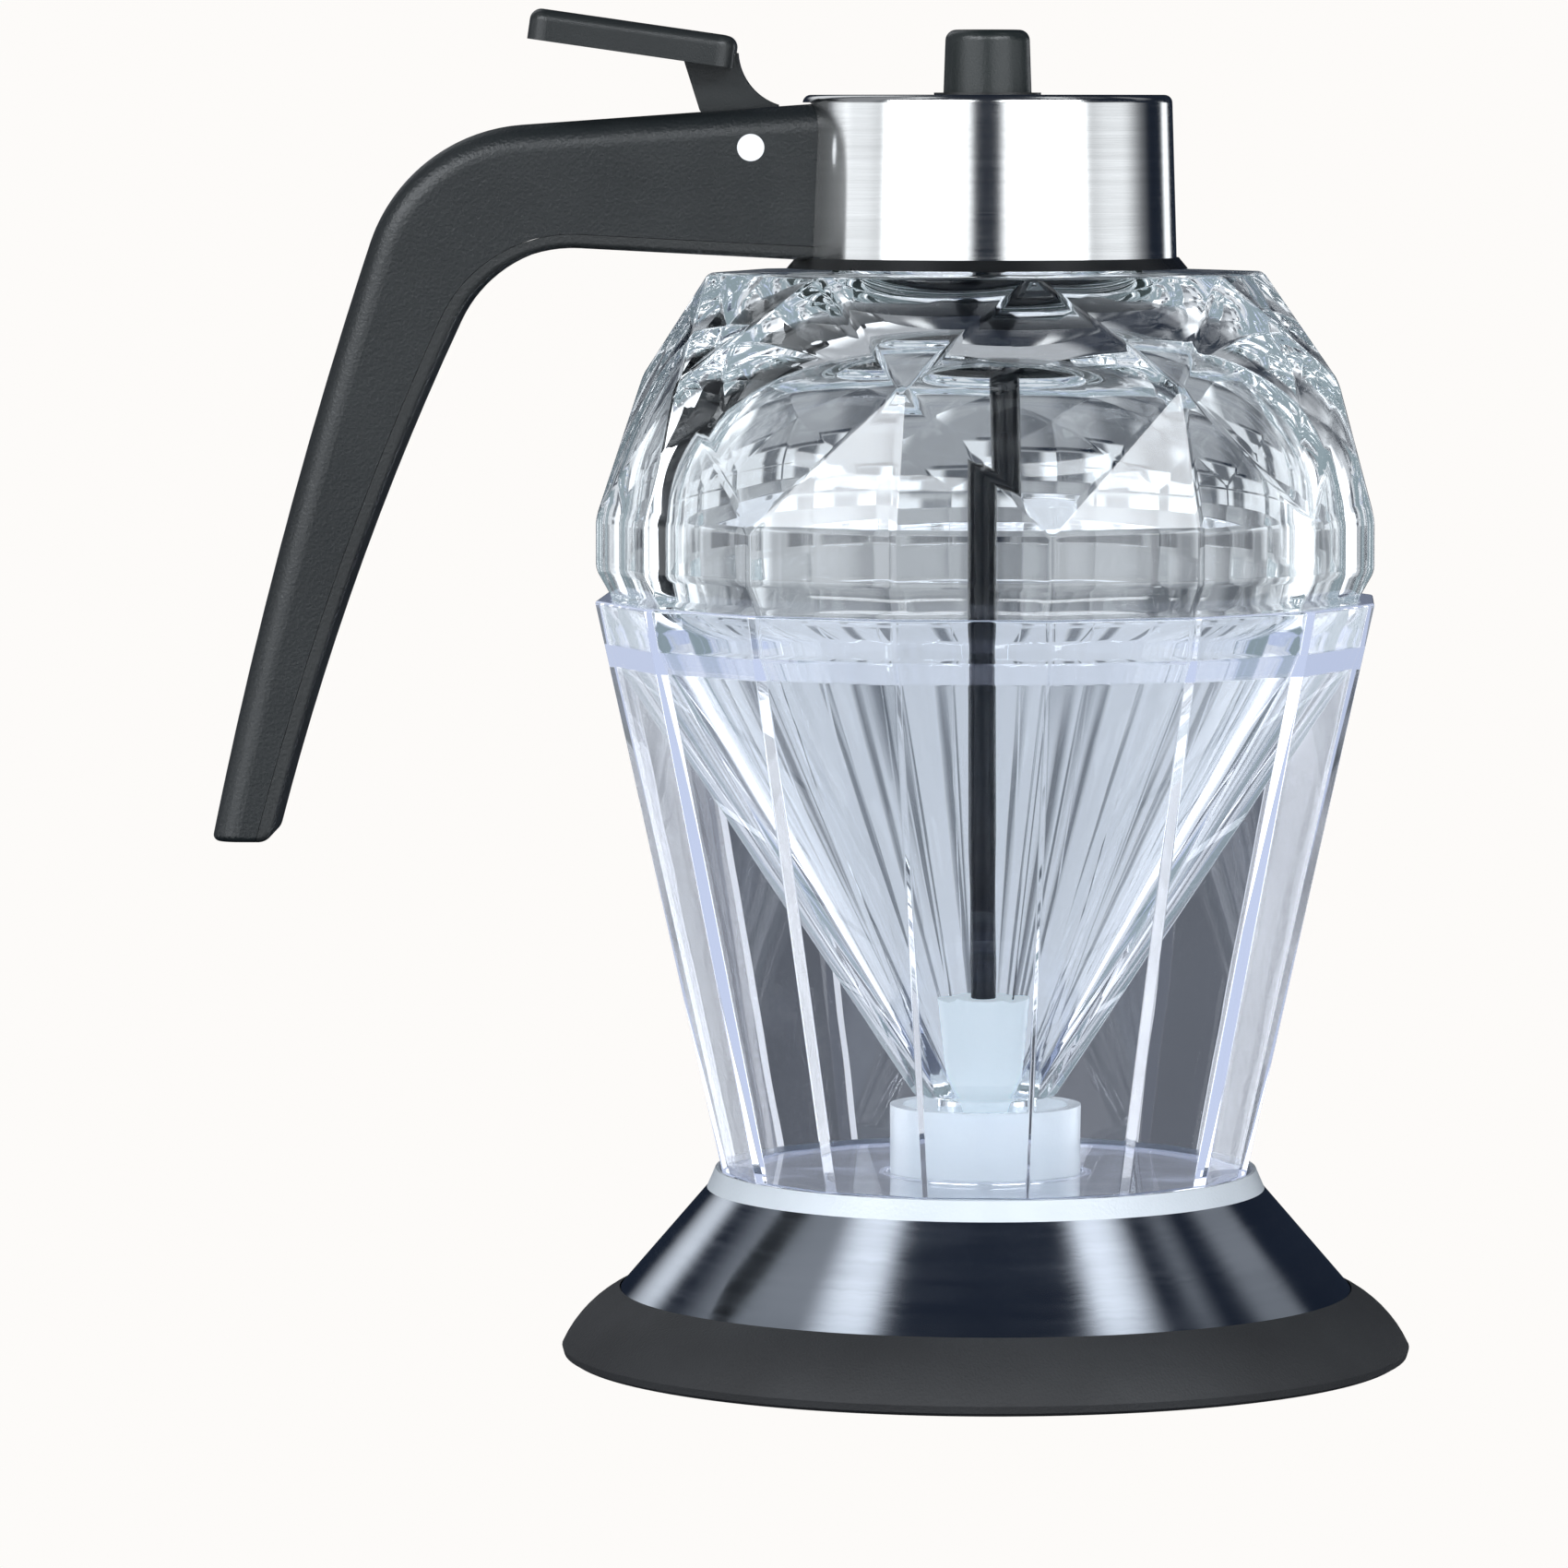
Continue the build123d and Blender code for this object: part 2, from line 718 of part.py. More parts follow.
def handle_blank():
    """The handle before it is parted: a bent arm that narrows downwards, with its edges rounded."""
    body = across(handle_view(), -big, big)
    for way in (-1, 1):
        corners = [(x, way * handle_half(z), z) for x, z in ((0, 0), (-big, 0), (-big, big), (0, big))]
        outwards = Face(Wire.make_polygon(corners, close=True))
        body = body - extrude(outwards, amount=2 * big, dir=(0, way, 0))
    outside = across(handle_view(-slack, handle_wall, handle_wall), -big, big)
    inside = across(handle_view(handle_wall, -slack, handle_wall), -big, big)
    body = fillet(body.faces().sort_by(Axis.Z)[0].edges().sort_by(Axis.X)[-1:], tip_round)
    body = fillet(rims_within(body, outside), handle_edge)
    return fillet(rims_within(body, inside), handle_inner_edge)


def rims_within(body, zone):
    """The long edges of the handle's flanks that lie in a zone."""
    flanks = [face for face in body.faces() if abs(face.normal_at().Y) > flank_normal]
    edges = [edge for face in flanks for edge in face.edges()]
    return [edge for edge in edges if zone.is_inside(edge @ 0.5) and (edge @ 0.5).X < -chamber_radius - slack]


def handle_body(whole):
    """The handle's main moulding: two cheeks round the lever, and a pocket that the cover closes."""
    kept = across(handle_view(-slack, cover_height + cover_gap, -slack), -big, big)
    pocket_half = handle_half(grip_end_z) - handle_wall
    pocket = across(handle_view(handle_wall, -slack, handle_wall), -pocket_half, pocket_half)
    pocket &= block((-big, -pocket_start), (-big, big), (0, big))
    slot = block((-slot_end, 0), (-slot_half_width, slot_half_width), (slot_floor_z, big))
    pin_hole = bar((-pivot_reach, -big, pivot_z), (-pivot_reach, big, pivot_z), pin_radius)
    holes = [bar((screw_end_x, y, screw_z), (0, y, screw_z), screw_radius) for y in screw_ys()]
    return (whole & kept) - [pocket, slot, pin_hole, *holes] + spring_ledge()


def handle_cover(whole):
    """The strip that closes the handle from its inner side, flush with the cheeks."""
    return whole - across(handle_view(-slack, cover_height, -slack), -big, big)


def rooted(part):
    """Cuts a handle piece to fit the lid's leaning wall and its flange."""
    below, above = cap_foot_z - slack, cap_top_z + slack
    wall = turned(
        [
            (0, arm_low_z - 2 * slack),
            (cap_foot_radius + flange_proud + flange_flare + root_gap, arm_low_z - 2 * slack),
            (cap_foot_radius + flange_proud + flange_flare + root_gap, flange_z),
            (cap_foot_radius + flange_proud + root_gap, cap_foot_z),
            (cap_foot_radius + flange_proud + root_gap, cap_foot_z + root_gap),
            (lid_radius(cap_foot_z) + root_gap, cap_foot_z + root_gap),
            (lid_radius(above) + root_gap, above),
            (0, above),
        ]
    )
    return part - wall


def spring_ledge():
    """A step on the far cheek that the spring's rear leg presses on."""
    top_z = pivot_z + coil_radius - spring_wire / 2 - spring_gap
    reach = pivot_reach + hub_radius + spring_gap
    low_y = web_half_width + ledge_gap
    high_y = slot_half_width + slack
    return block((-reach - spring_leg, -reach), (low_y, high_y), (slot_floor_z - slack, top_z))


def pivot_pin():
    half = handle_half(pivot_z)
    return bar((-pivot_reach, -half, pivot_z), (-pivot_reach, half, pivot_z), pin_radius)


def handle_screws():
    """Two pan-head screws from the lid's chamber into the handle's cheeks."""
    made = []
    for y in screw_ys():
        head_x = -sqrt(chamber_radius**2 - (abs(y) + screw_head_radius) ** 2)
        shank = bar((screw_end_x, y, screw_z), (head_x, y, screw_z), screw_radius)
        head = bar((head_x, y, screw_z), (head_x + screw_head_height, y, screw_z), screw_head_radius)
        made.append(shank + head)
    return Compound(children=made)


def lever():
    """Thumb pad, web, hub on the pin, and the forked arm that reaches the plunger."""
    pin = Vector(-pivot_reach, 0, pivot_z)
    pad = Box(pad_length, 2 * pad_half_width, pad_height)
    pad = fillet(pad.edges().filter_by(Axis.Z), pad_corner)
    pad = fillet(pad.faces().sort_by(Axis.Z)[-1].edges(), pad_edge)
    pad = Pos(*(pin + Vector(-pad_setback, 0, pad_rise))) * Rot(0, pad_tilt, 0) * pad

    def under_pad(setback):
        return pin + Vector(-setback, 0, pad_rise + (setback - pad_setback) * tan(radians(pad_tilt)))

    waist = pin + Vector(-web_waist, 0, web_waist_rise)
    toe = pin + Vector(web_toe, 0, web_toe_rise)
    web = across(
        side_view(
            [
                Edge.make_line(under_pad(web_front), under_pad(web_back)),
                Edge.make_line(under_pad(web_back), waist),
                Edge.make_line(waist, pin + Vector(-hub_radius, 0, 0)),
                Edge.make_line(pin + Vector(-hub_radius, 0, 0), pin + Vector(hub_radius, 0, 0)),
                Edge.make_line(pin + Vector(hub_radius, 0, 0), toe),
                bowed(toe, under_pad(web_front), -web_bow),
            ]
        ),
        -web_half_width,
        web_half_width,
    )
    run = Vector(0, 0, nose_z) - pin
    arm_plane = Plane(origin=pin, x_dir=run, z_dir=(-run.Z, 0, run.X))
    reach, thick = run.length, (-arm_height / 2, arm_height / 2)
    prong_in = rod_radius + fork_gap
    prong_out = prong_in + fork_prong
    blade = block((0, reach - fork_length), (-arm_half_width, arm_half_width), thick)
    plate = block((reach - fork_length - fork_prong, reach), (-prong_out, prong_out), thick)
    noses = bar((reach, -prong_out, 0), (reach, prong_out, 0), nose_radius)
    opening = block((reach - fork_length, reach + slack), (-prong_in, prong_in), (-slack, slack))
    arm = arm_plane * (blade + plate + noses - opening)
    leg_height = (arm_height / 2, hub_radius + spring_end_gap)
    leg_room = arm_plane * block((0, spring_leg + coil_radius), (hub_right, big), leg_height)
    hub = bar(pin + Vector(0, -hub_left, 0), pin + Vector(0, hub_right, 0), hub_radius)
    bore = bar(pin + Vector(0, -big, 0), pin + Vector(0, big, 0), pin_radius + pin_gap)
    spring_room = bar(pin + Vector(0, hub_right, 0), pin + Vector(0, big, 0), hub_radius + spring_end_gap)
    return pad + web + arm + hub - [bore, spring_room, leg_room]


def return_spring():
    """A wire spring round the pin. Its rear leg presses on the ledge, its front leg on the lever's arm."""
    first_y = slot_half_width - slot_side_gap / 2 - spring_wire / 2
    last_y = hub_right + spring_end_gap + spring_wire / 2
    arm_drop = atan2(pivot_rise - nose_rise, pivot_reach)
    rise = arm_height / 2 + spring_wire / 2 + spring_gap
    leg_angle = asin(rise / hypot(coil_radius, spring_leg)) - arm_drop
    past_top = pi / 2 - leg_angle - atan2(spring_leg, coil_radius)
    turns = spring_coils + past_top / (2 * pi)
    pitch = (first_y - last_y) / turns
    coil = Helix(pitch, pitch * turns, coil_radius, lefthand=True)
    start, way = coil @ 0, coil % 0
    end, end_way = coil @ 1, coil % 1
    section = Plane(origin=start, z_dir=way) * Face(Wire.make_circle(spring_wire / 2))
    wound = sweep(section, path=coil, is_frenet=True)
    rear_leg = bar(start - way * spring_leg, start, spring_wire / 2)
    front_leg = bar(end, end + end_way * spring_leg, spring_wire / 2)
    place = Plane(origin=(-pivot_reach, first_y, pivot_z), x_dir=(0, 0, 1), z_dir=(0, -1, 0))
    return place * (wound + rear_leg + front_leg)


def parts():
    blank = handle_blank()
    return {
        "rubber_foot": rubber_foot(),
        "skirt": skirt(),
        "base_core": base_core(),
        "seat_ring": seat_ring(),
        "stand_cup": stand_cup(),
        "drip_well": drip_well(),
        "jar_glass": jar_glass(),
        "neck_gasket": neck_gasket(),
        "lid_body": lid_body(),
        "steel_cap": steel_cap(),
        "knob_bush": knob_bush(),
        "plunger_rod": plunger_rod(),
        "valve_plug": valve_plug(),
        "knob": knob(),
        "handle_body": handle_body(rooted(blank)),
        "handle_cover": handle_cover(rooted(blank)),
        "pivot_pin": pivot_pin(),
        "handle_screws": handle_screws(),
        "lever": lever(),
        "return_spring": return_spring(),
    }


def main():
    os.makedirs("parts", exist_ok=True)
    for name, shape in parts().items():
        export_step(shape, f"parts/{name}.step")
        print(name, round(shape.volume, 1))


main()
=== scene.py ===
import json
import math

import bmesh
import bpy
from mathutils import Matrix, Vector


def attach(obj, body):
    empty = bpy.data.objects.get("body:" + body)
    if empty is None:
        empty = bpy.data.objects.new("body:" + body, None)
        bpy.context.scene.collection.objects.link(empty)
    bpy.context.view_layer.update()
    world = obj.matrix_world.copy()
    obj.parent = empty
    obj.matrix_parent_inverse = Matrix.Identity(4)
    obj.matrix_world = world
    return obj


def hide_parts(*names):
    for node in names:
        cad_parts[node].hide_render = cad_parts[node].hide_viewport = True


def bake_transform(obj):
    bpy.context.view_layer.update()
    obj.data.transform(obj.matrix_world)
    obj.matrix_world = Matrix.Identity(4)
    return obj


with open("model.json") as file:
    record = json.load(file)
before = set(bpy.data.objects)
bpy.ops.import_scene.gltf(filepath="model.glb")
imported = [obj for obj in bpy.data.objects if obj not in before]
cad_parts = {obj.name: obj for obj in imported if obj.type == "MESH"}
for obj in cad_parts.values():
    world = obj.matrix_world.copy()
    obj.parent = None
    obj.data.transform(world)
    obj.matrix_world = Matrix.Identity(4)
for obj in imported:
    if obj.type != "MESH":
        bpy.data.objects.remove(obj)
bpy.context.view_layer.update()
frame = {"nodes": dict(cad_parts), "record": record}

mm = 0.001
weld = 1e-7  # metres, within which two corners are one
sameLevel = 1e-5  # metres, within which a face lies at a height
sameTurn = 1e-4  # radians, within which two corners lie at one azimuth
number, arrow = "NodeSocketFloat", "NodeSocketVector"  # kinds of socket
scene = bpy.context.scene


def put(tree, kind, inputs=None, **settings):  # a node with its settings, and its inputs linked or set
    made = tree.nodes.new(kind)
    for key, value in settings.items():
        setattr(made, key, value)
    for key, value in (inputs or {}).items():
        if isinstance(value, bpy.types.NodeSocket):
            tree.links.new(value, made.inputs[key])
        else:
            made.inputs[key].default_value = value
    return made


def calc(tree, operation, first, second=0.0, third=0.0):
    return put(tree, "ShaderNodeMath", {0: first, 1: second, 2: third}, operation=operation).outputs[0]


def addSocket(tree, name, kind, value=None, side="INPUT"):
    made = tree.interface.new_socket(name, in_out=side, socket_type=kind)
    if value is not None:
        made.default_value = value


def vectorOf(tree, x=0.0, y=0.0, z=0.0):
    return put(tree, "ShaderNodeCombineXYZ", {0: x, 1: y, 2: z}).outputs[0]


def meshObject(name, mesh):
    made = bpy.data.objects.new(name, mesh)
    scene.collection.objects.link(made)
    return made


def startShape(name, count, points):  # a geometry tree whose points have named radii and heights
    tree = bpy.data.node_groups.new(name, "GeometryNodeTree")
    addSocket(tree, "Geometry", "NodeSocketGeometry", side="OUTPUT")
    addSocket(tree, count, "NodeSocketInt", 8)
    addSocket(tree, "Turn", number, 0.0)
    for point in points:
        addSocket(tree, point + " Radius", number, 1.0)
        addSocket(tree, point + " Height", number, 0.0)
    addSocket(tree, "Material", "NodeSocketMaterial")
    return tree, tree.nodes.new("NodeGroupInput")


def endShape(tree, entry, shape):  # the shape leaves the tree as one real mesh with its material
    real = put(tree, "GeometryNodeRealizeInstances", {0: shape})
    dressed = put(tree, "GeometryNodeSetMaterial", {"Geometry": real.outputs[0],
                                                    "Material": entry.outputs["Material"]})
    put(tree, "NodeGroupOutput", {"Geometry": dressed.outputs[0]})
    return tree


def ringTurn(tree, turn):  # the rotation that starts a ring at an azimuth counted from -Y
    return vectorOf(tree, z=calc(tree, "RADIANS", calc(tree, "SUBTRACT", turn, 90.0)))


def shapeValues(facts, count, points, material):  # what goes into a tree's named inputs
    values = {count: facts[count.lower()], "Turn": facts["turn"], "Material": material}
    for name, (radius, height) in points.items():
        values[name + " Radius"], values[name + " Height"] = radius, height
    return values


def runTree(name, tree, values):  # the result of a geometry tree as a plain mesh object
    holder = meshObject(name, bpy.data.meshes.new(name + "Start"))
    shaper = holder.modifiers.new("shape", "NODES")
    shaper.node_group = tree
    for item in tree.interface.items_tree:
        if item.item_type == "SOCKET" and item.in_out == "INPUT" and item.name in values:
            shaper[item.identifier] = values[item.name]
    bpy.context.view_layer.update()
    mesh = bpy.data.meshes.new_from_object(holder.evaluated_get(bpy.context.evaluated_depsgraph_get()))
    holder.modifiers.remove(shaper)
    start = holder.data
    holder.data = mesh
    bpy.data.meshes.remove(start)
    mesh.name = name
    mesh.materials.clear()
    mesh.materials.append(values["Material"])
    for face in mesh.polygons:
        face.material_index = 0
    return holder


def bakeModifiers(piece):  # modifiers and their normals become the mesh
    bpy.context.view_layer.update()
    mesh = bpy.data.meshes.new_from_object(piece.evaluated_get(bpy.context.evaluated_depsgraph_get()))
    piece.modifiers.clear()
    old, piece.data = piece.data, mesh
    mesh.name = old.name
    bpy.data.meshes.remove(old)
    return piece


def weightNormals(piece):  # flat faces stay flat, rounded edges take up the turn
    for face in piece.data.polygons:
        face.use_smooth = True
    weigher = piece.modifiers.new("weigh", "WEIGHTED_NORMAL")
    weigher.mode = "FACE_AREA"
    weigher.weight = 80  # beyond 50 the large faces count for more
    return bakeModifiers(piece)


def latheRings(bm, profile, segments):  # rings of vertices for a profile of (radius, height) in mm
    turns = [2 * math.pi * i / segments for i in range(segments)]
    return [[bm.verts.new((radius * mm * math.sin(t), -radius * mm * math.cos(t), height * mm)) for t in turns]
            for radius, height in profile]


def bridgeRings(bm, rings):
    for low, high in zip(rings, rings[1:]):
        for i in range(len(low)):
            j = (i + 1) % len(low)
            bm.faces.new((low[i], low[j], high[j], high[i]))


def roundCorners(points, radii, steps):  # an open profile with the corners that radii names rounded
    made = []
    for i, point in enumerate(points):
        here = Vector(point)
        if i not in radii:
            made.append(tuple(here))
            continue
        before, after = Vector(points[i - 1]), Vector(points[i + 1])
        toBefore, toAfter = (before - here).normalized(), (after - here).normalized()
        half = math.acos(max(-1, min(1, toBefore.dot(toAfter)))) / 2
        room = 0.48 * min((before - here).length, (after - here).length)  # a little less than half a side
        reach = min(radii[i] / math.tan(half), room)
        centre = here + (toBefore + toAfter).normalized() * reach / math.cos(half)
        start, end = here + toBefore * reach - centre, here + toAfter * reach - centre
        turn = math.atan2(start.x * end.y - start.y * end.x, start.dot(end))
        for k in range(steps + 1):
            made.append(tuple(centre + Matrix.Rotation(turn * k / steps, 2) @ start))
    return made


def finishMesh(piece, bm):
    bmesh.ops.recalc_face_normals(bm, faces=bm.faces)
    bm.to_mesh(piece.data)
    bm.free()
    return piece


def standFor(piece, node):  # a finished piece is shown in a CAD node's stead
    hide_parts(node)
    print("made", piece.name, len(piece.data.polygons), "faces")


def startGroup(name, inputs, outputs):  # a shader group with named inputs and outputs
    tree = bpy.data.node_groups.new(name, "ShaderNodeTree")
    for label, kind, value in inputs:
        addSocket(tree, label, kind, value)
    for label, kind in outputs:
        addSocket(tree, label, kind, side="OUTPUT")
    entry = tree.nodes.new("NodeGroupInput")
    leave = tree.nodes.new("NodeGroupOutput")
    return tree, entry, leave


def makeGrainGroup():  # fine moulded or spark-eroded grain, with slow patches over it
    tree, entry, leave = startGroup(
        "mouldGrain",
        [("Place", arrow, None), ("Scale", number, 4000.0), ("Patch Scale", number, 60.0)],
        [("Height", number), ("Patch", number)],
    )
    fine = put(tree, "ShaderNodeTexNoise", {"Vector": entry.outputs["Place"], "Scale": entry.outputs["Scale"],
                                            "Detail": 3.0, "Roughness": 0.6})
    pits = put(tree, "ShaderNodeTexVoronoi", {"Vector": entry.outputs["Place"], "Scale": entry.outputs["Scale"]})
    slow = put(tree, "ShaderNodeTexNoise", {"Vector": entry.outputs["Place"],
                                            "Scale": entry.outputs["Patch Scale"], "Detail": 2.0})
    height = calc(tree, "MULTIPLY_ADD", pits.outputs["Distance"], 0.5, fine.outputs["Fac"])
    patch = put(tree, "ShaderNodeMapRange", {"Value": slow.outputs["Fac"], "From Min": 0.35, "From Max": 0.65})
    tree.links.new(height, leave.inputs["Height"])
    tree.links.new(patch.outputs[0], leave.inputs["Patch"])
    return tree


def makeBrushGroup():  # fine lines that run round the axis, as left by brushing on a lathe
    tree, entry, leave = startGroup(
        "turnedBrushing",
        [("Place", arrow, None), ("Lines", number, 9000.0), ("Drift", number, 1.6)],
        [("Height", number), ("Streak", number)],
    )
    split = put(tree, "ShaderNodeSeparateXYZ", {0: entry.outputs["Place"]})
    squares = calc(tree, "MULTIPLY_ADD", split.outputs[0], split.outputs[0],
                   calc(tree, "MULTIPLY", split.outputs[1], split.outputs[1]))
    radius = calc(tree, "SQRT", squares)
    around = calc(tree, "ARCTAN2", split.outputs[0], split.outputs[1])
    lane = calc(tree, "MULTIPLY", calc(tree, "ADD", split.outputs[2], radius), entry.outputs["Lines"])
    drift = calc(tree, "MULTIPLY", calc(tree, "SINE", around), entry.outputs["Drift"])
    sway = calc(tree, "MULTIPLY", calc(tree, "COSINE", around), entry.outputs["Drift"])
    place = vectorOf(tree, lane, drift, sway)
    fine = put(tree, "ShaderNodeTexNoise", {"Vector": place, "Scale": 1.0, "Detail": 4.0, "Roughness": 0.65})
    broad = put(tree, "ShaderNodeTexNoise", {"Vector": place, "Scale": 0.12, "Detail": 3.0})
    tree.links.new(fine.outputs["Fac"], leave.inputs["Height"])
    streak = put(tree, "ShaderNodeMapRange", {"Value": broad.outputs["Fac"], "From Min": 0.3, "From Max": 0.7})
    tree.links.new(streak.outputs[0], leave.inputs["Streak"])
    return tree


def makeWaveGroup():  # slow unevenness of pressed glass and moulded acrylic
    tree, entry, leave = startGroup(
        "pressedWaves",
        [("Place", arrow, None), ("Scale", number, 90.0)],
        [("Height", number)],
    )
    slow = put(tree, "ShaderNodeTexNoise", {"Vector": entry.outputs["Place"], "Scale": entry.outputs["Scale"],
                                            "Detail": 2.0, "Roughness": 0.45})
    tree.links.new(slow.outputs["Fac"], leave.inputs["Height"])
    return tree


def makeHandledGroup():  # faint wipe marks that change the gloss
    tree, entry, leave = startGroup(
        "handledMarks",
        [("Place", arrow, None), ("Scale", number, 70.0), ("Low", number, 0.3), ("High", number, 0.4)],
        [("Roughness", number)],
    )
    wipes = put(tree, "ShaderNodeTexNoise", {"Vector": entry.outputs["Place"], "Scale": entry.outputs["Scale"],
                                             "Detail": 5.0, "Distortion": 0.6})
    rough = put(tree, "ShaderNodeMapRange", {"Value": wipes.outputs["Fac"], "From Min": 0.3, "From Max": 0.7,
                                             "To Min": entry.outputs["Low"], "To Max": entry.outputs["High"]})
    tree.links.new(rough.outputs[0], leave.inputs["Roughness"])
    return tree


grainGroup = makeGrainGroup()
brushGroup = makeBrushGroup()
waveGroup = makeWaveGroup()
handledGroup = makeHandledGroup()
print("shader groups ready")


def startFinish(name, **sockets):  # a material with one Principled shader, plain values set on its sockets
    material = bpy.data.materials.new(name)
    material.use_nodes = True
    tree = material.node_tree
    tree.nodes.clear()
    surface = put(tree, "ShaderNodeBsdfPrincipled")
    for key, value in sockets.items():
        surface.inputs[key.replace("_", " ")].default_value = value
    put(tree, "ShaderNodeOutputMaterial", {"Surface": surface.outputs[0]})
    place = put(tree, "ShaderNodeTexCoord").outputs["Object"]
    return material, tree, surface, place


def useGroup(tree, group, place, **values):
    return put(tree, "ShaderNodeGroup", {"Place": place, **values}, node_tree=group)


def bumpFrom(tree, surface, height, distance):
    bump = put(tree, "ShaderNodeBump", {"Height": height, "Strength": 1.0, "Distance": distance})
    tree.links.new(bump.outputs[0], surface.inputs["Normal"])


def blendColour(tree, surface, factor, low, high):
    mix = put(tree, "ShaderNodeMix", {0: factor, 6: (*low, 1), 7: (*high, 1)}, data_type="RGBA")
    tree.links.new(mix.outputs[2], surface.inputs["Base Color"])


def handledGloss(tree, surface, place, gloss):  # roughness between two values, by where the piece is wiped
    handled = useGroup(tree, handledGroup, place, Low=gloss[0], High=gloss[1])
    tree.links.new(handled.outputs["Roughness"], surface.inputs["Roughness"])


def plasticFinish(name, low, high, gloss, grain, depth, **sockets):
    material, tree, surface, place = startFinish(name, **sockets)
    grained = useGroup(tree, grainGroup, place, Scale=grain)
    handledGloss(tree, surface, place, gloss)
    blendColour(tree, surface, grained.outputs["Patch"], low, high)
    bumpFrom(tree, surface, grained.outputs["Height"], depth)
    return material


def steelFinish(name, low, high, gloss, lines, depth, **sockets):
    material, tree, surface, place = startFinish(name, Metallic=1.0, **sockets)
    brushed = useGroup(tree, brushGroup, place, Lines=lines)
    blendColour(tree, surface, brushed.outputs["Streak"], low, high)
    rough = put(tree, "ShaderNodeMapRange", {"Value": brushed.outputs["Height"], "From Min": 0.3, "From Max": 0.7,
                                             "To Min": gloss[0], "To Max": gloss[1]})
    tree.links.new(rough.outputs[0], surface.inputs["Roughness"])
    bumpFrom(tree, surface, brushed.outputs["Height"], depth)
    if sockets.get("Anisotropic"):
        tangent = put(tree, "ShaderNodeTangent", direction_type="RADIAL", axis="Z")
        tree.links.new(tangent.outputs[0], surface.inputs["Tangent"])
    return material


trappedAfter = 9.5  # after so many turns inside a clear wall a ray ends in a painted glow of the wall's edge colour, standing in for light led round inside it


def clearFinish(name, colour, ior, gloss, waves, depth, paintedEdgeGlow):
    material, tree, surface, place = startFinish(
        name, Base_Color=(*colour, 1), IOR=ior, Transmission_Weight=1.0)
    waved = useGroup(tree, waveGroup, place, Scale=waves)
    handledGloss(tree, surface, place, gloss)
    bumpFrom(tree, surface, waved.outputs["Height"], depth)
    # painted glow: past trappedAfter turns the glass gives way to an emission of the edge colour
    glow = put(tree, "ShaderNodeEmission", {"Color": (*paintedEdgeGlow, 1)})
    rounds = put(tree, "ShaderNodeLightPath").outputs["Ray Depth"]
    trapped = calc(tree, "GREATER_THAN", rounds, trappedAfter)
    choice = put(tree, "ShaderNodeMixShader", {0: trapped, 1: surface.outputs[0], 2: glow.outputs[0]})
    tree.links.new(choice.outputs[0], tree.nodes["Material Output"].inputs["Surface"])
    return material
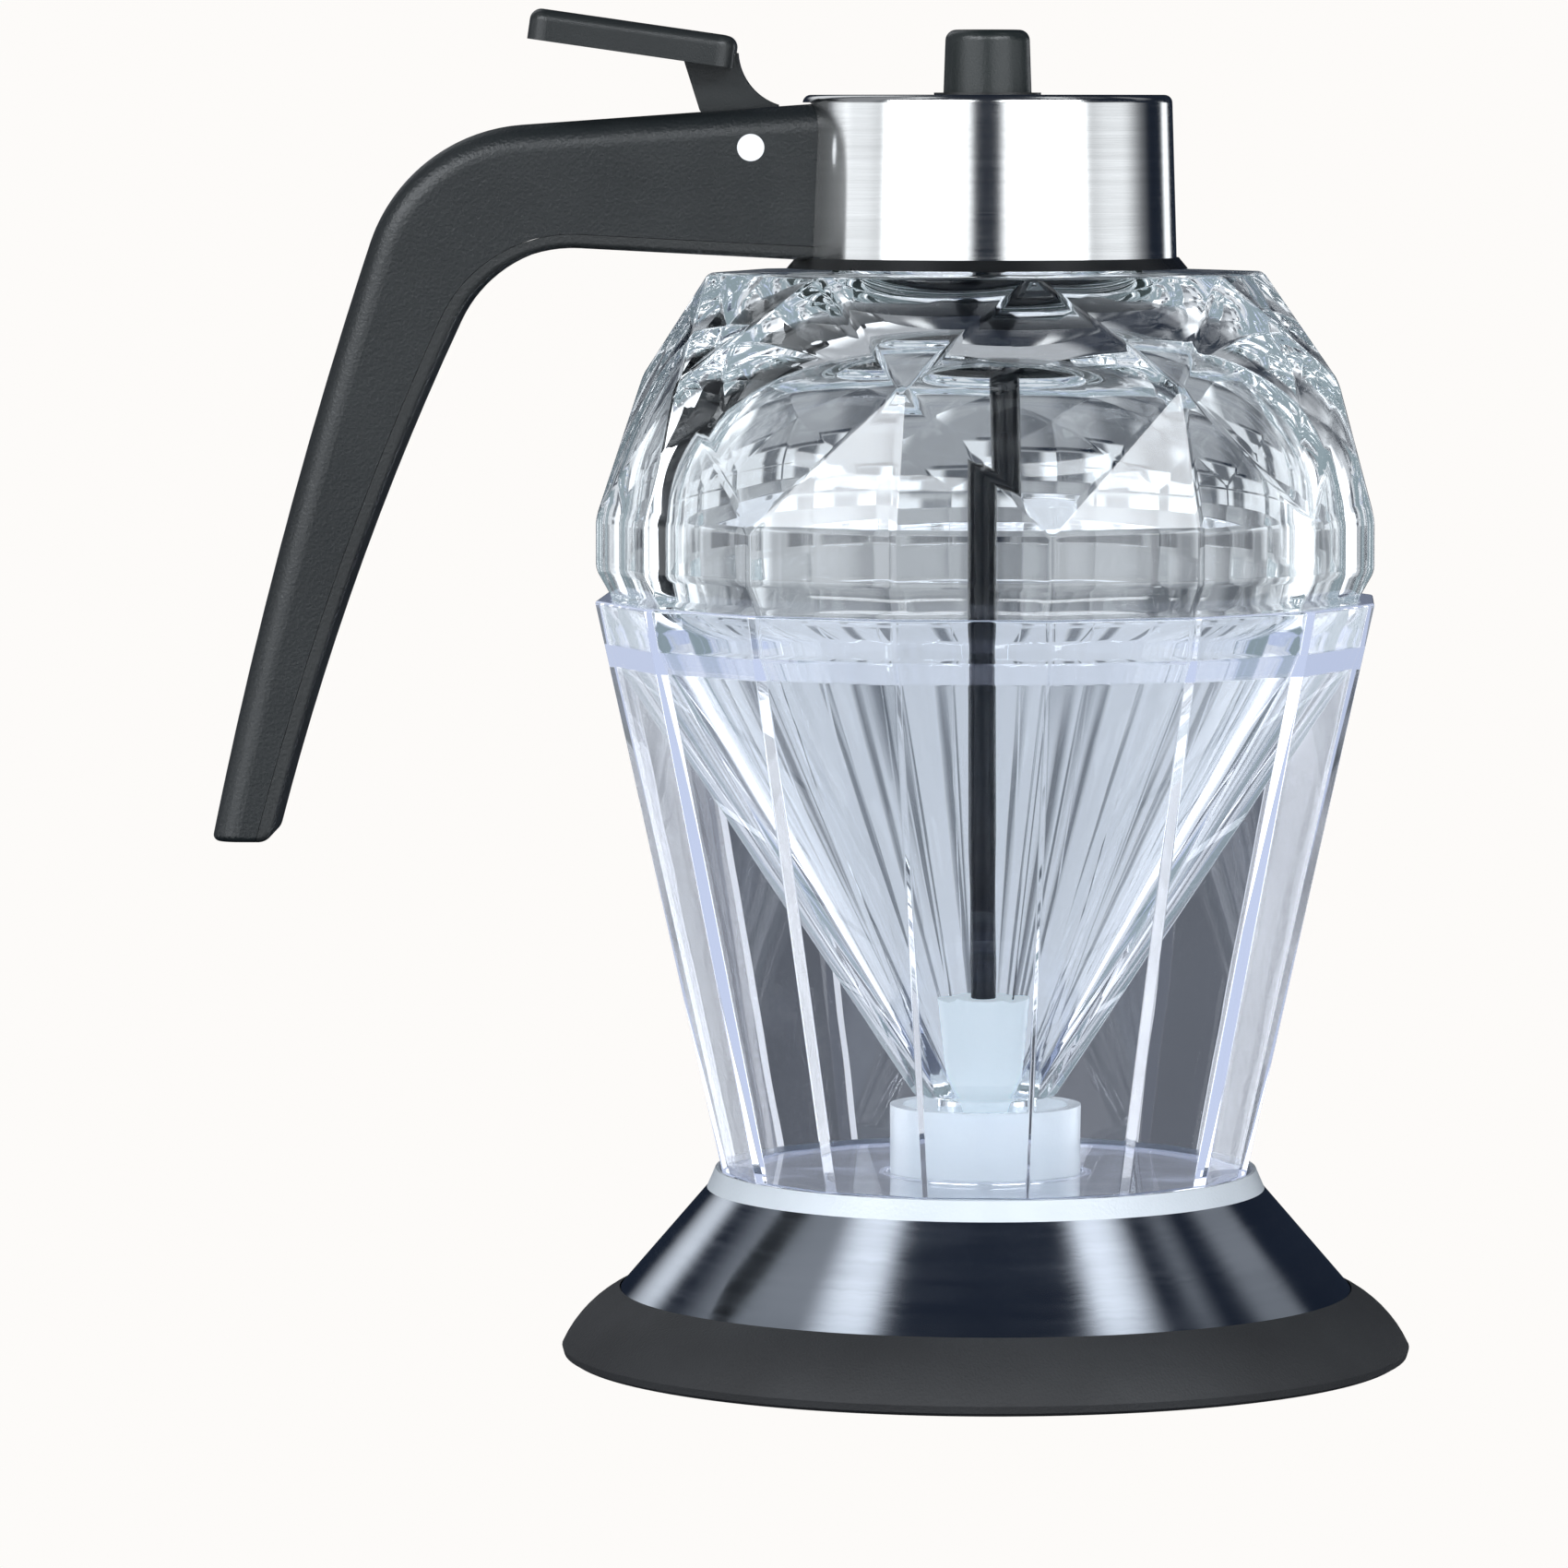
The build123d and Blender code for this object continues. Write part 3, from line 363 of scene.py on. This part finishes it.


# A plastic or a steel runs from its first colour to its second over a piece, and a clear finish has one colour and
# its index of refraction. Then come a pair of roughnesses, the scale of the grain, lines or waves and their depth in
# metres, and for a clear finish the colour of the painted glow its walls give off where light is trapped in them.
finishes = {
    "jar_glass": clearFinish("cutGlass", (0.965, 0.985, 0.995), 1.5, (0.0, 0.003), 45.0, 0.000012,
                             (0.3, 0.38, 0.42)),
    "cup_acrylic": clearFinish("standAcrylic", (0.955, 0.965, 1.0), 1.49, (0.0, 0.01), 40.0, 0.0001,
                               (0.6, 0.68, 0.9)),
    # the well's emission is a faint painted glow, standing in for light scattered inside milky acrylic
    "well_acrylic": plasticFinish("wellAcrylic", (0.9, 0.95, 0.98), (0.95, 0.98, 1.0), (0.15, 0.25), 2600.0,
                                  0.00002, Transmission_Weight=0.55, IOR=1.49,
                                  Emission_Color=(0.84, 0.93, 1.0, 1), Emission_Strength=0.14),
    "cap_steel": steelFinish("capSteel", (0.66, 0.66, 0.65), (0.78, 0.78, 0.77), (0.12, 0.2), 9000.0, 0.000004,
                             Anisotropic=0.75, Anisotropic_Rotation=0.25),
    "skirt_steel": steelFinish("skirtSteel", (0.52, 0.56, 0.62), (0.66, 0.7, 0.77), (0.1, 0.16), 8000.0,
                               0.000003, Anisotropic=0.75, Anisotropic_Rotation=0.25),
    "pin_steel": steelFinish("pinSteel", (0.8, 0.81, 0.82), (0.88, 0.89, 0.9), (0.42, 0.5), 5000.0, 0.000004),
    "screw_steel": steelFinish("screwSteel", (0.5, 0.51, 0.52), (0.64, 0.65, 0.66), (0.25, 0.35), 5000.0,
                               0.000006),
    "spring_steel": steelFinish("springSteel", (0.42, 0.43, 0.44), (0.55, 0.56, 0.57), (0.22, 0.3), 9000.0,
                                0.000003),
    "foot_rubber": plasticFinish("footRubber", (0.013, 0.0135, 0.015), (0.019, 0.02, 0.022), (0.62, 0.75),
                                 3200.0, 0.00005),
    "handle_plastic": plasticFinish("handlePlastic", (0.005, 0.007, 0.008), (0.009, 0.0115, 0.0125), (0.34, 0.42),
                                    2600.0, 0.00005),
    "cover_plastic": plasticFinish("coverPlastic", (0.009, 0.0105, 0.011), (0.013, 0.015, 0.0155), (0.4, 0.48),
                                   2600.0, 0.00005),
    "lever_plastic": plasticFinish("leverPlastic", (0.011, 0.013, 0.0135), (0.016, 0.0185, 0.019), (0.3, 0.38),
                                   3600.0, 0.00002),
    "knob_plastic": plasticFinish("knobPlastic", (0.009, 0.012, 0.012), (0.013, 0.017, 0.017), (0.3, 0.38),
                                  3600.0, 0.00002),
    "lid_plastic": plasticFinish("lidPlastic", (0.006, 0.0065, 0.007), (0.009, 0.0095, 0.01), (0.25, 0.34),
                                 3600.0, 0.00002),
    "bush_plastic": plasticFinish("bushPlastic", (0.006, 0.0065, 0.007), (0.009, 0.0095, 0.01), (0.3, 0.4),
                                  3600.0, 0.00002),
    "rod_plastic": plasticFinish("rodPlastic", (0.004, 0.005, 0.0065), (0.006, 0.0075, 0.0095), (0.2, 0.28),
                                 3000.0, 0.00002, Specular_IOR_Level=0.22),
    "core_plastic": plasticFinish("corePlastic", (0.17, 0.19, 0.225), (0.22, 0.245, 0.285), (0.35, 0.45),
                                  3000.0, 0.00003),
    "ring_plastic": plasticFinish("ringPlastic", (0.5, 0.54, 0.58), (0.58, 0.62, 0.66), (0.3, 0.4),
                                  2600.0, 0.00003),
    "gasket_silicone": plasticFinish("gasketSilicone", (0.6, 0.61, 0.6), (0.72, 0.73, 0.72), (0.4, 0.5),
                                     2600.0, 0.00003),
    # the plug's emission is a painted glow, standing in for light scattered inside milky silicone
    "plug_silicone": plasticFinish("plugSilicone", (0.9, 0.95, 0.97), (0.95, 0.98, 0.99), (0.3, 0.4),
                                   2600.0, 0.00002, Emission_Color=(0.8, 0.94, 1.0, 1), Emission_Strength=0.45),
}
for slotFacts in frame["record"]["subparts"]:
    for holder in frame["nodes"][slotFacts["node"]].material_slots:
        holder.material = finishes[slotFacts["material_slot"]]
print("finishes ready:", len(finishes))


jarCut = {  # millimetres, each ring as its radius to the corners and its height
    "facets": 8,
    "turn": 9.0,  # degrees from -Y to the first corner
    "table": (31.3, 121.3),
    "girdleTop": (43.9, 94.2),
    "girdleLow": (43.9, 88.5),
    "band": (42.2, 85.5),
    "seat": (41.2, 80.4),
    "kiteDrop": 11.6,  # from the table to the kites' lower corners
    "tip": (7.6, 29.5),
    "edge": 0.55,  # softness of the pressed edges
    "flat": 0.6,  # degrees between faces that are one facet
    "sharp": 2.0,  # degrees between facets whose edge is softened
}
jarInside = {  # millimetres
    "spout": (5.4, 25.8),  # outer radius and lowest height
    "spoutRoot": 0.4,  # where the spout meets the cut tip
    "outlet": 3.5,  # radius
    "coneFoot": 30.26,  # height where the cone meets the outlet
    "wide": (38.957, 83.97, 93.57),  # radius of the straight wall, its foot and its top
    "domeBow": 7.2,
    "domeSteps": 20,
    "neck": (16.6, 13.5, 128.8),  # outer radius, bore radius and top
    "shoulder": 117.1,  # height where the dome meets the bore
    "neckRoot": 0.8,
    "soft": {  # radii of the rounded corners
        "lip": 0.9, "shoulder": 2.5, "wallTop": 2.5, "wallFoot": 6.0, "outlet": 1.2, "spout": 0.5,
    },
    "softSteps": 6,
    "segments": 144,
}


def ringIn(tree, count, turn, radius, height):  # one ring of corners in a geometry tree
    circle = put(tree, "GeometryNodeMeshCircle", {"Vertices": count, "Radius": calc(tree, "MULTIPLY", radius, mm)})
    moved = put(tree, "GeometryNodeTransform", {
        "Geometry": circle.outputs[0],
        "Translation": vectorOf(tree, z=calc(tree, "MULTIPLY", height, mm)),
        "Rotation": ringTurn(tree, turn),
    })
    return moved.outputs[0]


def hullOf(tree, rings):
    joined = put(tree, "GeometryNodeJoinGeometry")
    for ring in rings:
        tree.links.new(ring, joined.inputs[0])
    return put(tree, "GeometryNodeConvexHull", {0: joined.outputs[0]}).outputs[0]


def makeBrilliantTree():  # crown and cone of a brilliant cut, from rings of corners
    names = ["Table", "Kite", "Girdle Top", "Girdle Low", "Band", "Seat", "Tip"]
    tree, entry = startShape("brilliantCut", "Facets", names)
    facets, turn = entry.outputs["Facets"], entry.outputs["Turn"]
    sides = calc(tree, "MULTIPLY", facets, 2.0)
    between = calc(tree, "ADD", turn, calc(tree, "DIVIDE", 180.0, facets))
    rings = {}
    for name in names:
        count = facets if name in ("Table", "Kite") else sides
        shift = between if name == "Kite" else turn
        rings[name] = ringIn(tree, count, shift, entry.outputs[name + " Radius"], entry.outputs[name + " Height"])
    crown = hullOf(tree, [rings[name] for name in names[:5]])
    point = hullOf(tree, [rings[name] for name in names[4:]])
    level = put(tree, "ShaderNodeSeparateXYZ", {0: put(tree, "GeometryNodeInputPosition").outputs[0]}).outputs[2]
    away = calc(tree, "ABSOLUTE", calc(tree, "SUBTRACT", level,
                                       calc(tree, "MULTIPLY", entry.outputs["Band Height"], mm)))
    shells = put(tree, "GeometryNodeJoinGeometry")
    for shell in (crown, point):  # the faces where the two meet are inside the glass
        opened = put(tree, "GeometryNodeDeleteGeometry", {
            "Geometry": shell, "Selection": calc(tree, "LESS_THAN", away, sameLevel)}, domain="FACE")
        tree.links.new(opened.outputs[0], shells.inputs[0])
    merged = put(tree, "GeometryNodeMergeByDistance", {"Geometry": shells.outputs[0], "Distance": 10 * weld})
    return endShape(tree, entry, merged.outputs[0])


def jarOutside():
    cut = jarCut
    flat = math.cos(math.pi / cut["facets"])
    (tableRadius, tableHeight), (girdleRadius, girdleTop) = cut["table"], cut["girdleTop"]
    share = cut["kiteDrop"] / (tableHeight - girdleTop)
    rings = {
        "Table": cut["table"],
        "Kite": ((tableRadius + (girdleRadius - tableRadius) * share) / flat, tableHeight - cut["kiteDrop"]),
        "Girdle Top": cut["girdleTop"],
        "Girdle Low": cut["girdleLow"],
        "Band": cut["band"],
        "Seat": cut["seat"],
        "Tip": cut["tip"],
    }
    return runTree("cutJar", makeBrilliantTree(), shapeValues(cut, "Facets", rings, finishes["jar_glass"]))


def arcPoints(start, end, bow, steps):  # points of an arc that bulges outwards from its chord
    start, end = Vector(start), Vector(end)
    chord = end - start
    half = chord.length / 2
    radius = (half * half + bow * bow) / (2 * bow)
    side = Vector((chord.y, -chord.x)).normalized()
    centre = (start + end) / 2 - side * (radius - bow)
    first = start - centre
    turn = math.atan2(first.x * (end - centre).y - first.y * (end - centre).x, first.dot(end - centre))
    return [tuple(centre + Matrix.Rotation(turn * k / steps, 2) @ first) for k in range(steps + 1)]


def jarInsideProfile():  # from the shoulder over the lip, down the inside and out of the spout
    facts = jarInside
    neckRadius, boreRadius, neckTop = facts["neck"]
    wideRadius, wideLow, wideTop = facts["wide"]
    spoutRadius, spoutLow = facts["spout"]
    tableHeight, tipHeight = jarCut["table"][1], jarCut["tip"][1]
    dome = arcPoints((wideRadius, wideTop), (boreRadius, facts["shoulder"]), facts["domeBow"], facts["domeSteps"])
    points = [
        (neckRadius + facts["neckRoot"], tableHeight),
        (neckRadius, tableHeight + facts["neckRoot"]),
        (neckRadius, neckTop),
        (boreRadius, neckTop),
        *dome[::-1],
        (wideRadius, wideLow),
        (facts["outlet"], facts["coneFoot"]),
        (facts["outlet"], spoutLow),
        (spoutRadius, spoutLow),
        (spoutRadius, tipHeight - facts["spoutRoot"]),
        (spoutRadius + facts["spoutRoot"], tipHeight),
    ]
    soft, top = facts["soft"], points.index((wideRadius, wideLow)) - 1  # top of the straight wall
    radii = {2: soft["lip"], 3: soft["lip"], 4: soft["shoulder"], top: soft["wallTop"], top + 1: soft["wallFoot"],
             top + 2: soft["outlet"], top + 3: soft["spout"], top + 4: soft["spout"]}
    return roundCorners(points, radii, facts["softSteps"])


def makeJar():  # the cut outside with its edges softened, opened at the table and the tip for the turned inside
    piece = jarOutside()
    bm = bmesh.new()
    bm.from_mesh(piece.data)
    bmesh.ops.dissolve_limit(bm, angle_limit=math.radians(jarCut["flat"]), verts=bm.verts, edges=bm.edges)
    cut = [e for e in bm.edges if len(e.link_faces) == 2 and e.calc_face_angle() > math.radians(jarCut["sharp"])]
    bmesh.ops.bevel(bm, geom=cut, offset=jarCut["edge"] * mm, segments=3, profile=0.5, affect="EDGES",
                    clamp_overlap=True)
    bm.faces.ensure_lookup_table()
    flats = {}
    for key, height in (("top", jarCut["table"][1]), ("low", jarCut["tip"][1])):
        level = [f for f in bm.faces if abs(f.calc_center_median().z - height * mm) < sameLevel
                 and abs(f.normal.z) > 0.999]  # faces that lie flat
        flats[key] = max(level, key=lambda f: f.calc_area())
    borders = {key: list(face.edges) for key, face in flats.items()}
    bmesh.ops.delete(bm, geom=list(flats.values()), context="FACES_ONLY")
    rings = latheRings(bm, jarInsideProfile(), jarInside["segments"])
    bridgeRings(bm, rings)
    for key, ring in (("top", rings[0]), ("low", rings[-1])):
        loop = [bm.edges.get((ring[i], ring[(i + 1) % len(ring)])) for i in range(len(ring))]
        bmesh.ops.triangle_fill(bm, edges=borders[key] + loop, use_beauty=True, use_dissolve=False)
    bmesh.ops.remove_doubles(bm, verts=bm.verts, dist=weld)
    finishMesh(piece, bm)
    return weightNormals(piece)


jar = makeJar()
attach(jar, "jar")
standFor(jar, "jar_glass")


cupFacts = {  # millimetres, each pair a radius to the corners and a height
    "sides": 16,
    "turn": 9.0,  # degrees from -Y to the first corner
    "foot": (29.3, 18.9),
    "rim": (44.0, 85.0),
    "floor": 2.2,  # thickness
    "wall": 2.7,  # thickness
    "seat": (41.3, 80.4),
    "seatLow": 78.063,  # height where the ledge under the seat meets the wall
    "band": (42.2, 85.0),
    "bore": (10.62, 11.42, 20.3),  # radius at the floor, radius round the well's flange, height of the step
    "edge": 0.28,  # softness of the edges round the cup
    "corner": 0.12,  # softness of the corners between its sides
    "cornersFrom": 11.5,  # radius that those corners lie beyond
    "pathRadius": 30.0,  # of the ring that carries the wall's section
}


def makeCupTree():  # a closed wall section carried round a ring of flat sides
    corners = ["Bore Foot", "Foot", "Rim", "Rim Inner", "Seat", "Seat Low", "Floor", "Bore Floor", "Bore Step",
               "Flange Step"]
    tree, entry = startShape("facetedCup", "Sides", corners)
    addSocket(tree, "Edge", number, 0.2)
    middle = cupFacts["pathRadius"]
    section = put(tree, "GeometryNodeIndexSwitch", data_type="VECTOR")
    while len(section.index_switch_items) < len(corners):
        section.index_switch_items.new()
    tree.links.new(put(tree, "GeometryNodeInputIndex").outputs[0], section.inputs[0])
    for i, name in enumerate(corners):
        across = calc(tree, "MULTIPLY", calc(tree, "SUBTRACT", entry.outputs[name + " Radius"], middle), mm)
        along = calc(tree, "MULTIPLY", entry.outputs[name + " Height"], -mm)
        tree.links.new(vectorOf(tree, across, along), section.inputs[i + 1])
    points = put(tree, "GeometryNodePoints", {"Count": len(corners), "Position": section.outputs[0]})
    line = put(tree, "GeometryNodePointsToCurves", {"Points": points.outputs[0]})
    ringLine = put(tree, "GeometryNodeSetSplineCyclic", {"Geometry": line.outputs[0], "Cyclic": True})
    softLine = put(tree, "GeometryNodeFilletCurve", {
        "Curve": ringLine.outputs[0], "Radius": calc(tree, "MULTIPLY", entry.outputs["Edge"], mm),
        "Limit Radius": True, "Count": 3}, mode="POLY")
    path = put(tree, "GeometryNodeCurvePrimitiveCircle", {"Resolution": entry.outputs["Sides"],
                                                          "Radius": middle * mm})
    turned = put(tree, "GeometryNodeTransform", {"Geometry": path.outputs[0],
                                                 "Rotation": ringTurn(tree, entry.outputs["Turn"])})
    wall = put(tree, "GeometryNodeCurveToMesh", {"Curve": turned.outputs[0], "Profile Curve": softLine.outputs[0]})
    return endShape(tree, entry, wall.outputs[0])


def makeCup():
    facts = cupFacts
    (footRadius, footHeight), (rimRadius, rimHeight) = facts["foot"], facts["rim"]
    lean = (rimRadius - footRadius) / (rimHeight - footHeight)
    floorTop = footHeight + facts["floor"]
    boreRadius, flangeRadius, flangeTop = facts["bore"]

    def innerRadius(height):
        return rimRadius - lean * (rimHeight - height) - facts["wall"]

    section = {
        "Bore Foot": (flangeRadius, footHeight),
        "Foot": facts["foot"],
        "Rim": facts["rim"],
        "Rim Inner": facts["band"],
        "Seat": facts["seat"],
        "Seat Low": (innerRadius(facts["seatLow"]), facts["seatLow"]),
        "Floor": (innerRadius(floorTop), floorTop),
        "Bore Floor": (boreRadius, floorTop),
        "Bore Step": (boreRadius, flangeTop),
        "Flange Step": (flangeRadius, flangeTop),
    }
    values = shapeValues(facts, "Sides", section, finishes["cup_acrylic"])
    piece = runTree("clearCup", makeCupTree(), {**values, "Edge": facts["edge"]})
    bm = bmesh.new()
    bm.from_mesh(piece.data)
    bmesh.ops.remove_doubles(bm, verts=bm.verts, dist=weld)
    corners = []
    for edge in bm.edges:  # the edges that run along the section, outside the bore
        start, end = (math.atan2(v.co.x, -v.co.y) for v in edge.verts)
        inmost = min(v.co.xy.length for v in edge.verts)
        if abs(start - end) < sameTurn and inmost > facts["cornersFrom"] * mm:
            corners.append(edge)
    bmesh.ops.bevel(bm, geom=corners, offset=facts["corner"] * mm, segments=2, profile=0.5, affect="EDGES",
                    clamp_overlap=True)
    finishMesh(piece, bm)
    return weightNormals(piece)


cup = makeCup()
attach(cup, "stand")
standFor(cup, "stand_cup")


springFacts = {"wire": 0.5, "merge": 0.001}  # millimetres


def makeSpring():  # the CAD spring's mesh, its doubled corners welded, in spring steel with weighted normals
    piece = meshObject("woundSpring", frame["nodes"]["return_spring"].data.copy())
    bm = bmesh.new()
    bm.from_mesh(piece.data)
    bmesh.ops.remove_doubles(bm, verts=bm.verts, dist=springFacts["merge"] * mm)
    finishMesh(piece, bm)
    piece.data.materials.clear()
    piece.data.materials.append(finishes["spring_steel"])
    return weightNormals(piece)


def bindSpring(piece):
    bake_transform(piece)


spring = makeSpring()
bindSpring(spring)
standFor(spring, "return_spring")


studio = {
    "pale": (0.982, 0.965, 0.947),  # backdrop
    "tint": (0.93, 0.965, 1.0),  # of the panels
    "dark": (0.014, 0.02, 0.034),  # the room between them
    "panels": [  # azimuth from -Y towards +X, half width, softness, low, high, softness, brightness
        (-38.5, 28.5, 3.0, -22.0, 17.0, 4.0, 1.9),
        (36.0, 27.0, 3.0, -22.0, 17.0, 4.0, 1.9),
        (-38.5, 28.5, 3.0, 22.2, 33.0, 1.0, 12.0),
        (36.0, 27.0, 3.0, 22.2, 33.0, 1.0, 12.0),
        (-80.0, 26.0, 12.0, -13.0, 6.0, 5.0, 1.1),
        (76.0, 24.0, 10.0, -13.0, 6.0, 5.0, 1.1),
        (-100.0, 26.0, 8.0, -13.0, 60.0, 5.0, 0.3),
        (92.0, 20.0, 8.0, -13.0, 6.0, 5.0, 0.35),
        (-80.0, 15.0, 5.0, 58.0, 72.0, 4.0, 1.3),
        (80.0, 15.0, 5.0, 58.0, 72.0, 4.0, 1.35),
        (-152.0, 12.0, 4.0, 14.0, 58.0, 6.0, 0.9),
        (-143.0, 5.0, 3.0, -20.0, 10.0, 6.0, 0.35),
        (127.0, 8.0, 3.0, 22.0, 46.0, 4.0, 0.25),
        (-104.0, 8.0, 4.0, -8.0, 6.0, 2.0, 0.45),
        (107.0, 6.0, 3.0, 47.0, 60.0, 3.0, 0.22),
        (144.0, 6.0, 2.0, -7.0, 6.0, 2.0, 1.6),
    ],
    "behind": [  # added for light that comes through clear walls; less than nothing is a black card
        (180.0, 72.0, 5.0, -90.0, 32.0, 8.0, 0.85),
        (180.0, 1.6, 1.0, -14.0, -4.3, 0.5, -0.6),
        (180.0, 17.0, 4.0, -3.8, 34.0, 1.0, -0.5),
        (164.0, 12.0, 4.0, -3.8, 34.0, 1.0, -0.2),
        (-151.0, 4.0, 1.5, -26.0, -4.0, 3.0, -0.75),
        (154.0, 4.0, 1.5, -26.0, -4.0, 3.0, -0.75),
        (-125.0, 17.0, 4.0, -40.0, 30.0, 8.0, 1.4),
        (125.0, 17.0, 4.0, -40.0, 30.0, 8.0, 1.4),
        (0.0, 181.0, 1.0, 40.0, 100.0, 8.0, 0.45),
        (0.0, 34.0, 8.0, 55.0, 100.0, 6.0, -0.4),
        (142.0, 22.0, 5.0, 14.0, 60.0, 5.0, -0.42),
    ],
    "cupOnly": [  # added where light came through no more walls than the cup's own
        (180.0, 4.0, 1.4, -14.0, -4.3, 0.5, -0.73),
        (180.0, 1.6, 1.0, -14.0, -4.3, 0.5, 0.6),
        (180.0, 7.0, 1.4, -4.3, -1.6, 0.5, -0.26),
    ],
    "cupWalls": 5.5,  # surfaces
    "bounces": 20,  # enough for light to pass every wall of glass
}
floorFacts = {"half": 6000.0, "drop": 0.1}  # millimetres, the drop keeps it clear of the foot
cameraFacts = {  # millimetres
    "place": (-4.0, -950.0, 139.8), "aim": (-22.6, 0.0, 64.1), "lens": 195.75, "sensor": 36.0,
    "clip": (50.0, 20000.0),
}


def makeWorld():  # a pale backdrop for the camera, a studio of soft panels for all other rays
    world = bpy.data.worlds.new("studio")
    scene.world = world
    world.use_nodes = True
    tree = world.node_tree
    tree.nodes.clear()
    way = put(tree, "ShaderNodeSeparateXYZ", {0: put(tree, "ShaderNodeTexCoord").outputs["Generated"]})
    back = calc(tree, "MULTIPLY", way.outputs[1], -1.0)
    azimuth = calc(tree, "DEGREES", calc(tree, "ARCTAN2", way.outputs[0], back))
    height = calc(tree, "DEGREES", calc(tree, "ARCSINE", way.outputs[2]))

    def window(distance, half, soft):  # 1 inside, 0 outside, with a soft border
        made = put(tree, "ShaderNodeMapRange", {
            "Value": distance, "From Min": half - soft, "From Max": half + soft, "To Min": 1.0, "To Max": 0.0},
            interpolation_type="SMOOTHSTEP")
        return made.outputs[0]

    def panelSum(panels):
        total = 0.0
        for middle, half, soft, low, high, fade, bright in panels:
            across = calc(tree, "WRAP", calc(tree, "SUBTRACT", azimuth, middle), 180.0, -180.0)
            up = calc(tree, "SUBTRACT", height, (low + high) / 2)
            panel = calc(tree, "MULTIPLY", window(calc(tree, "ABSOLUTE", across), half, soft),
                         window(calc(tree, "ABSOLUTE", up), (high - low) / 2, fade))
            total = calc(tree, "MULTIPLY_ADD", panel, bright, total)
        return total

    rays = put(tree, "ShaderNodeLightPath").outputs
    mirrored = panelSum(studio["panels"])
    shallow = calc(tree, "LESS_THAN", rays["Transmission Depth"], studio["cupWalls"])
    passed = calc(tree, "MULTIPLY_ADD", shallow, panelSum(studio["cupOnly"]), panelSum(studio["behind"]))
    through = calc(tree, "MULTIPLY", rays["Is Transmission Ray"], passed)
    light = calc(tree, "MAXIMUM", calc(tree, "ADD", mirrored, through), 0.0)
    bright = put(tree, "ShaderNodeVectorMath", {0: studio["tint"], "Scale": light}, operation="SCALE")
    glow = put(tree, "ShaderNodeVectorMath", {0: bright.outputs[0], 1: studio["dark"]}, operation="ADD")
    seen = put(tree, "ShaderNodeBackground", {"Color": (*studio["pale"], 1)})
    unseen = put(tree, "ShaderNodeBackground", {"Color": glow.outputs[0]})
    choice = put(tree, "ShaderNodeMixShader", {0: rays["Is Camera Ray"], 1: unseen.outputs[0], 2: seen.outputs[0]})
    put(tree, "ShaderNodeOutputWorld", {"Surface": choice.outputs[0]})


def makeFloor():  # as pale as the backdrop, and open to all rays but the camera's
    bm = bmesh.new()
    bmesh.ops.create_grid(bm, x_segments=1, y_segments=1, size=floorFacts["half"] * mm)
    bmesh.ops.translate(bm, verts=bm.verts, vec=(0, 0, -floorFacts["drop"] * mm))
    floor = meshObject("floor", bpy.data.meshes.new("floor"))
    bm.to_mesh(floor.data)
    bm.free()
    material = bpy.data.materials.new("paleFloor")
    material.use_nodes = True
    tree = material.node_tree
    tree.nodes.clear()
    seen = put(tree, "ShaderNodeEmission", {"Color": (*studio["pale"], 1)})
    openWay = put(tree, "ShaderNodeBsdfTransparent")
    direct = put(tree, "ShaderNodeLightPath").outputs["Is Camera Ray"]
    choice = put(tree, "ShaderNodeMixShader", {0: direct, 1: openWay.outputs[0], 2: seen.outputs[0]})
    put(tree, "ShaderNodeOutputMaterial", {"Surface": choice.outputs[0]})
    floor.data.materials.append(material)


def makeCamera():  # at the photo's angle
    lens = bpy.data.cameras.new("photoCamera")
    lens.lens = cameraFacts["lens"]
    lens.sensor_width = cameraFacts["sensor"]
    lens.clip_start, lens.clip_end = (distance * mm for distance in cameraFacts["clip"])
    camera = bpy.data.objects.new("photoCamera", lens)
    scene.collection.objects.link(camera)
    place, aim = (Vector(cameraFacts[key]) * mm for key in ("place", "aim"))
    camera.location = place
    camera.rotation_euler = (aim - place).to_track_quat("-Z", "Y").to_euler()
    scene.camera = camera


scene.view_settings.view_transform = "Standard"
scene.cycles.max_bounces = studio["bounces"]
scene.cycles.transmission_bounces = studio["bounces"]
scene.cycles.glossy_bounces = studio["bounces"]
makeWorld()
makeFloor()
makeCamera()
print("floor, light and camera ready")
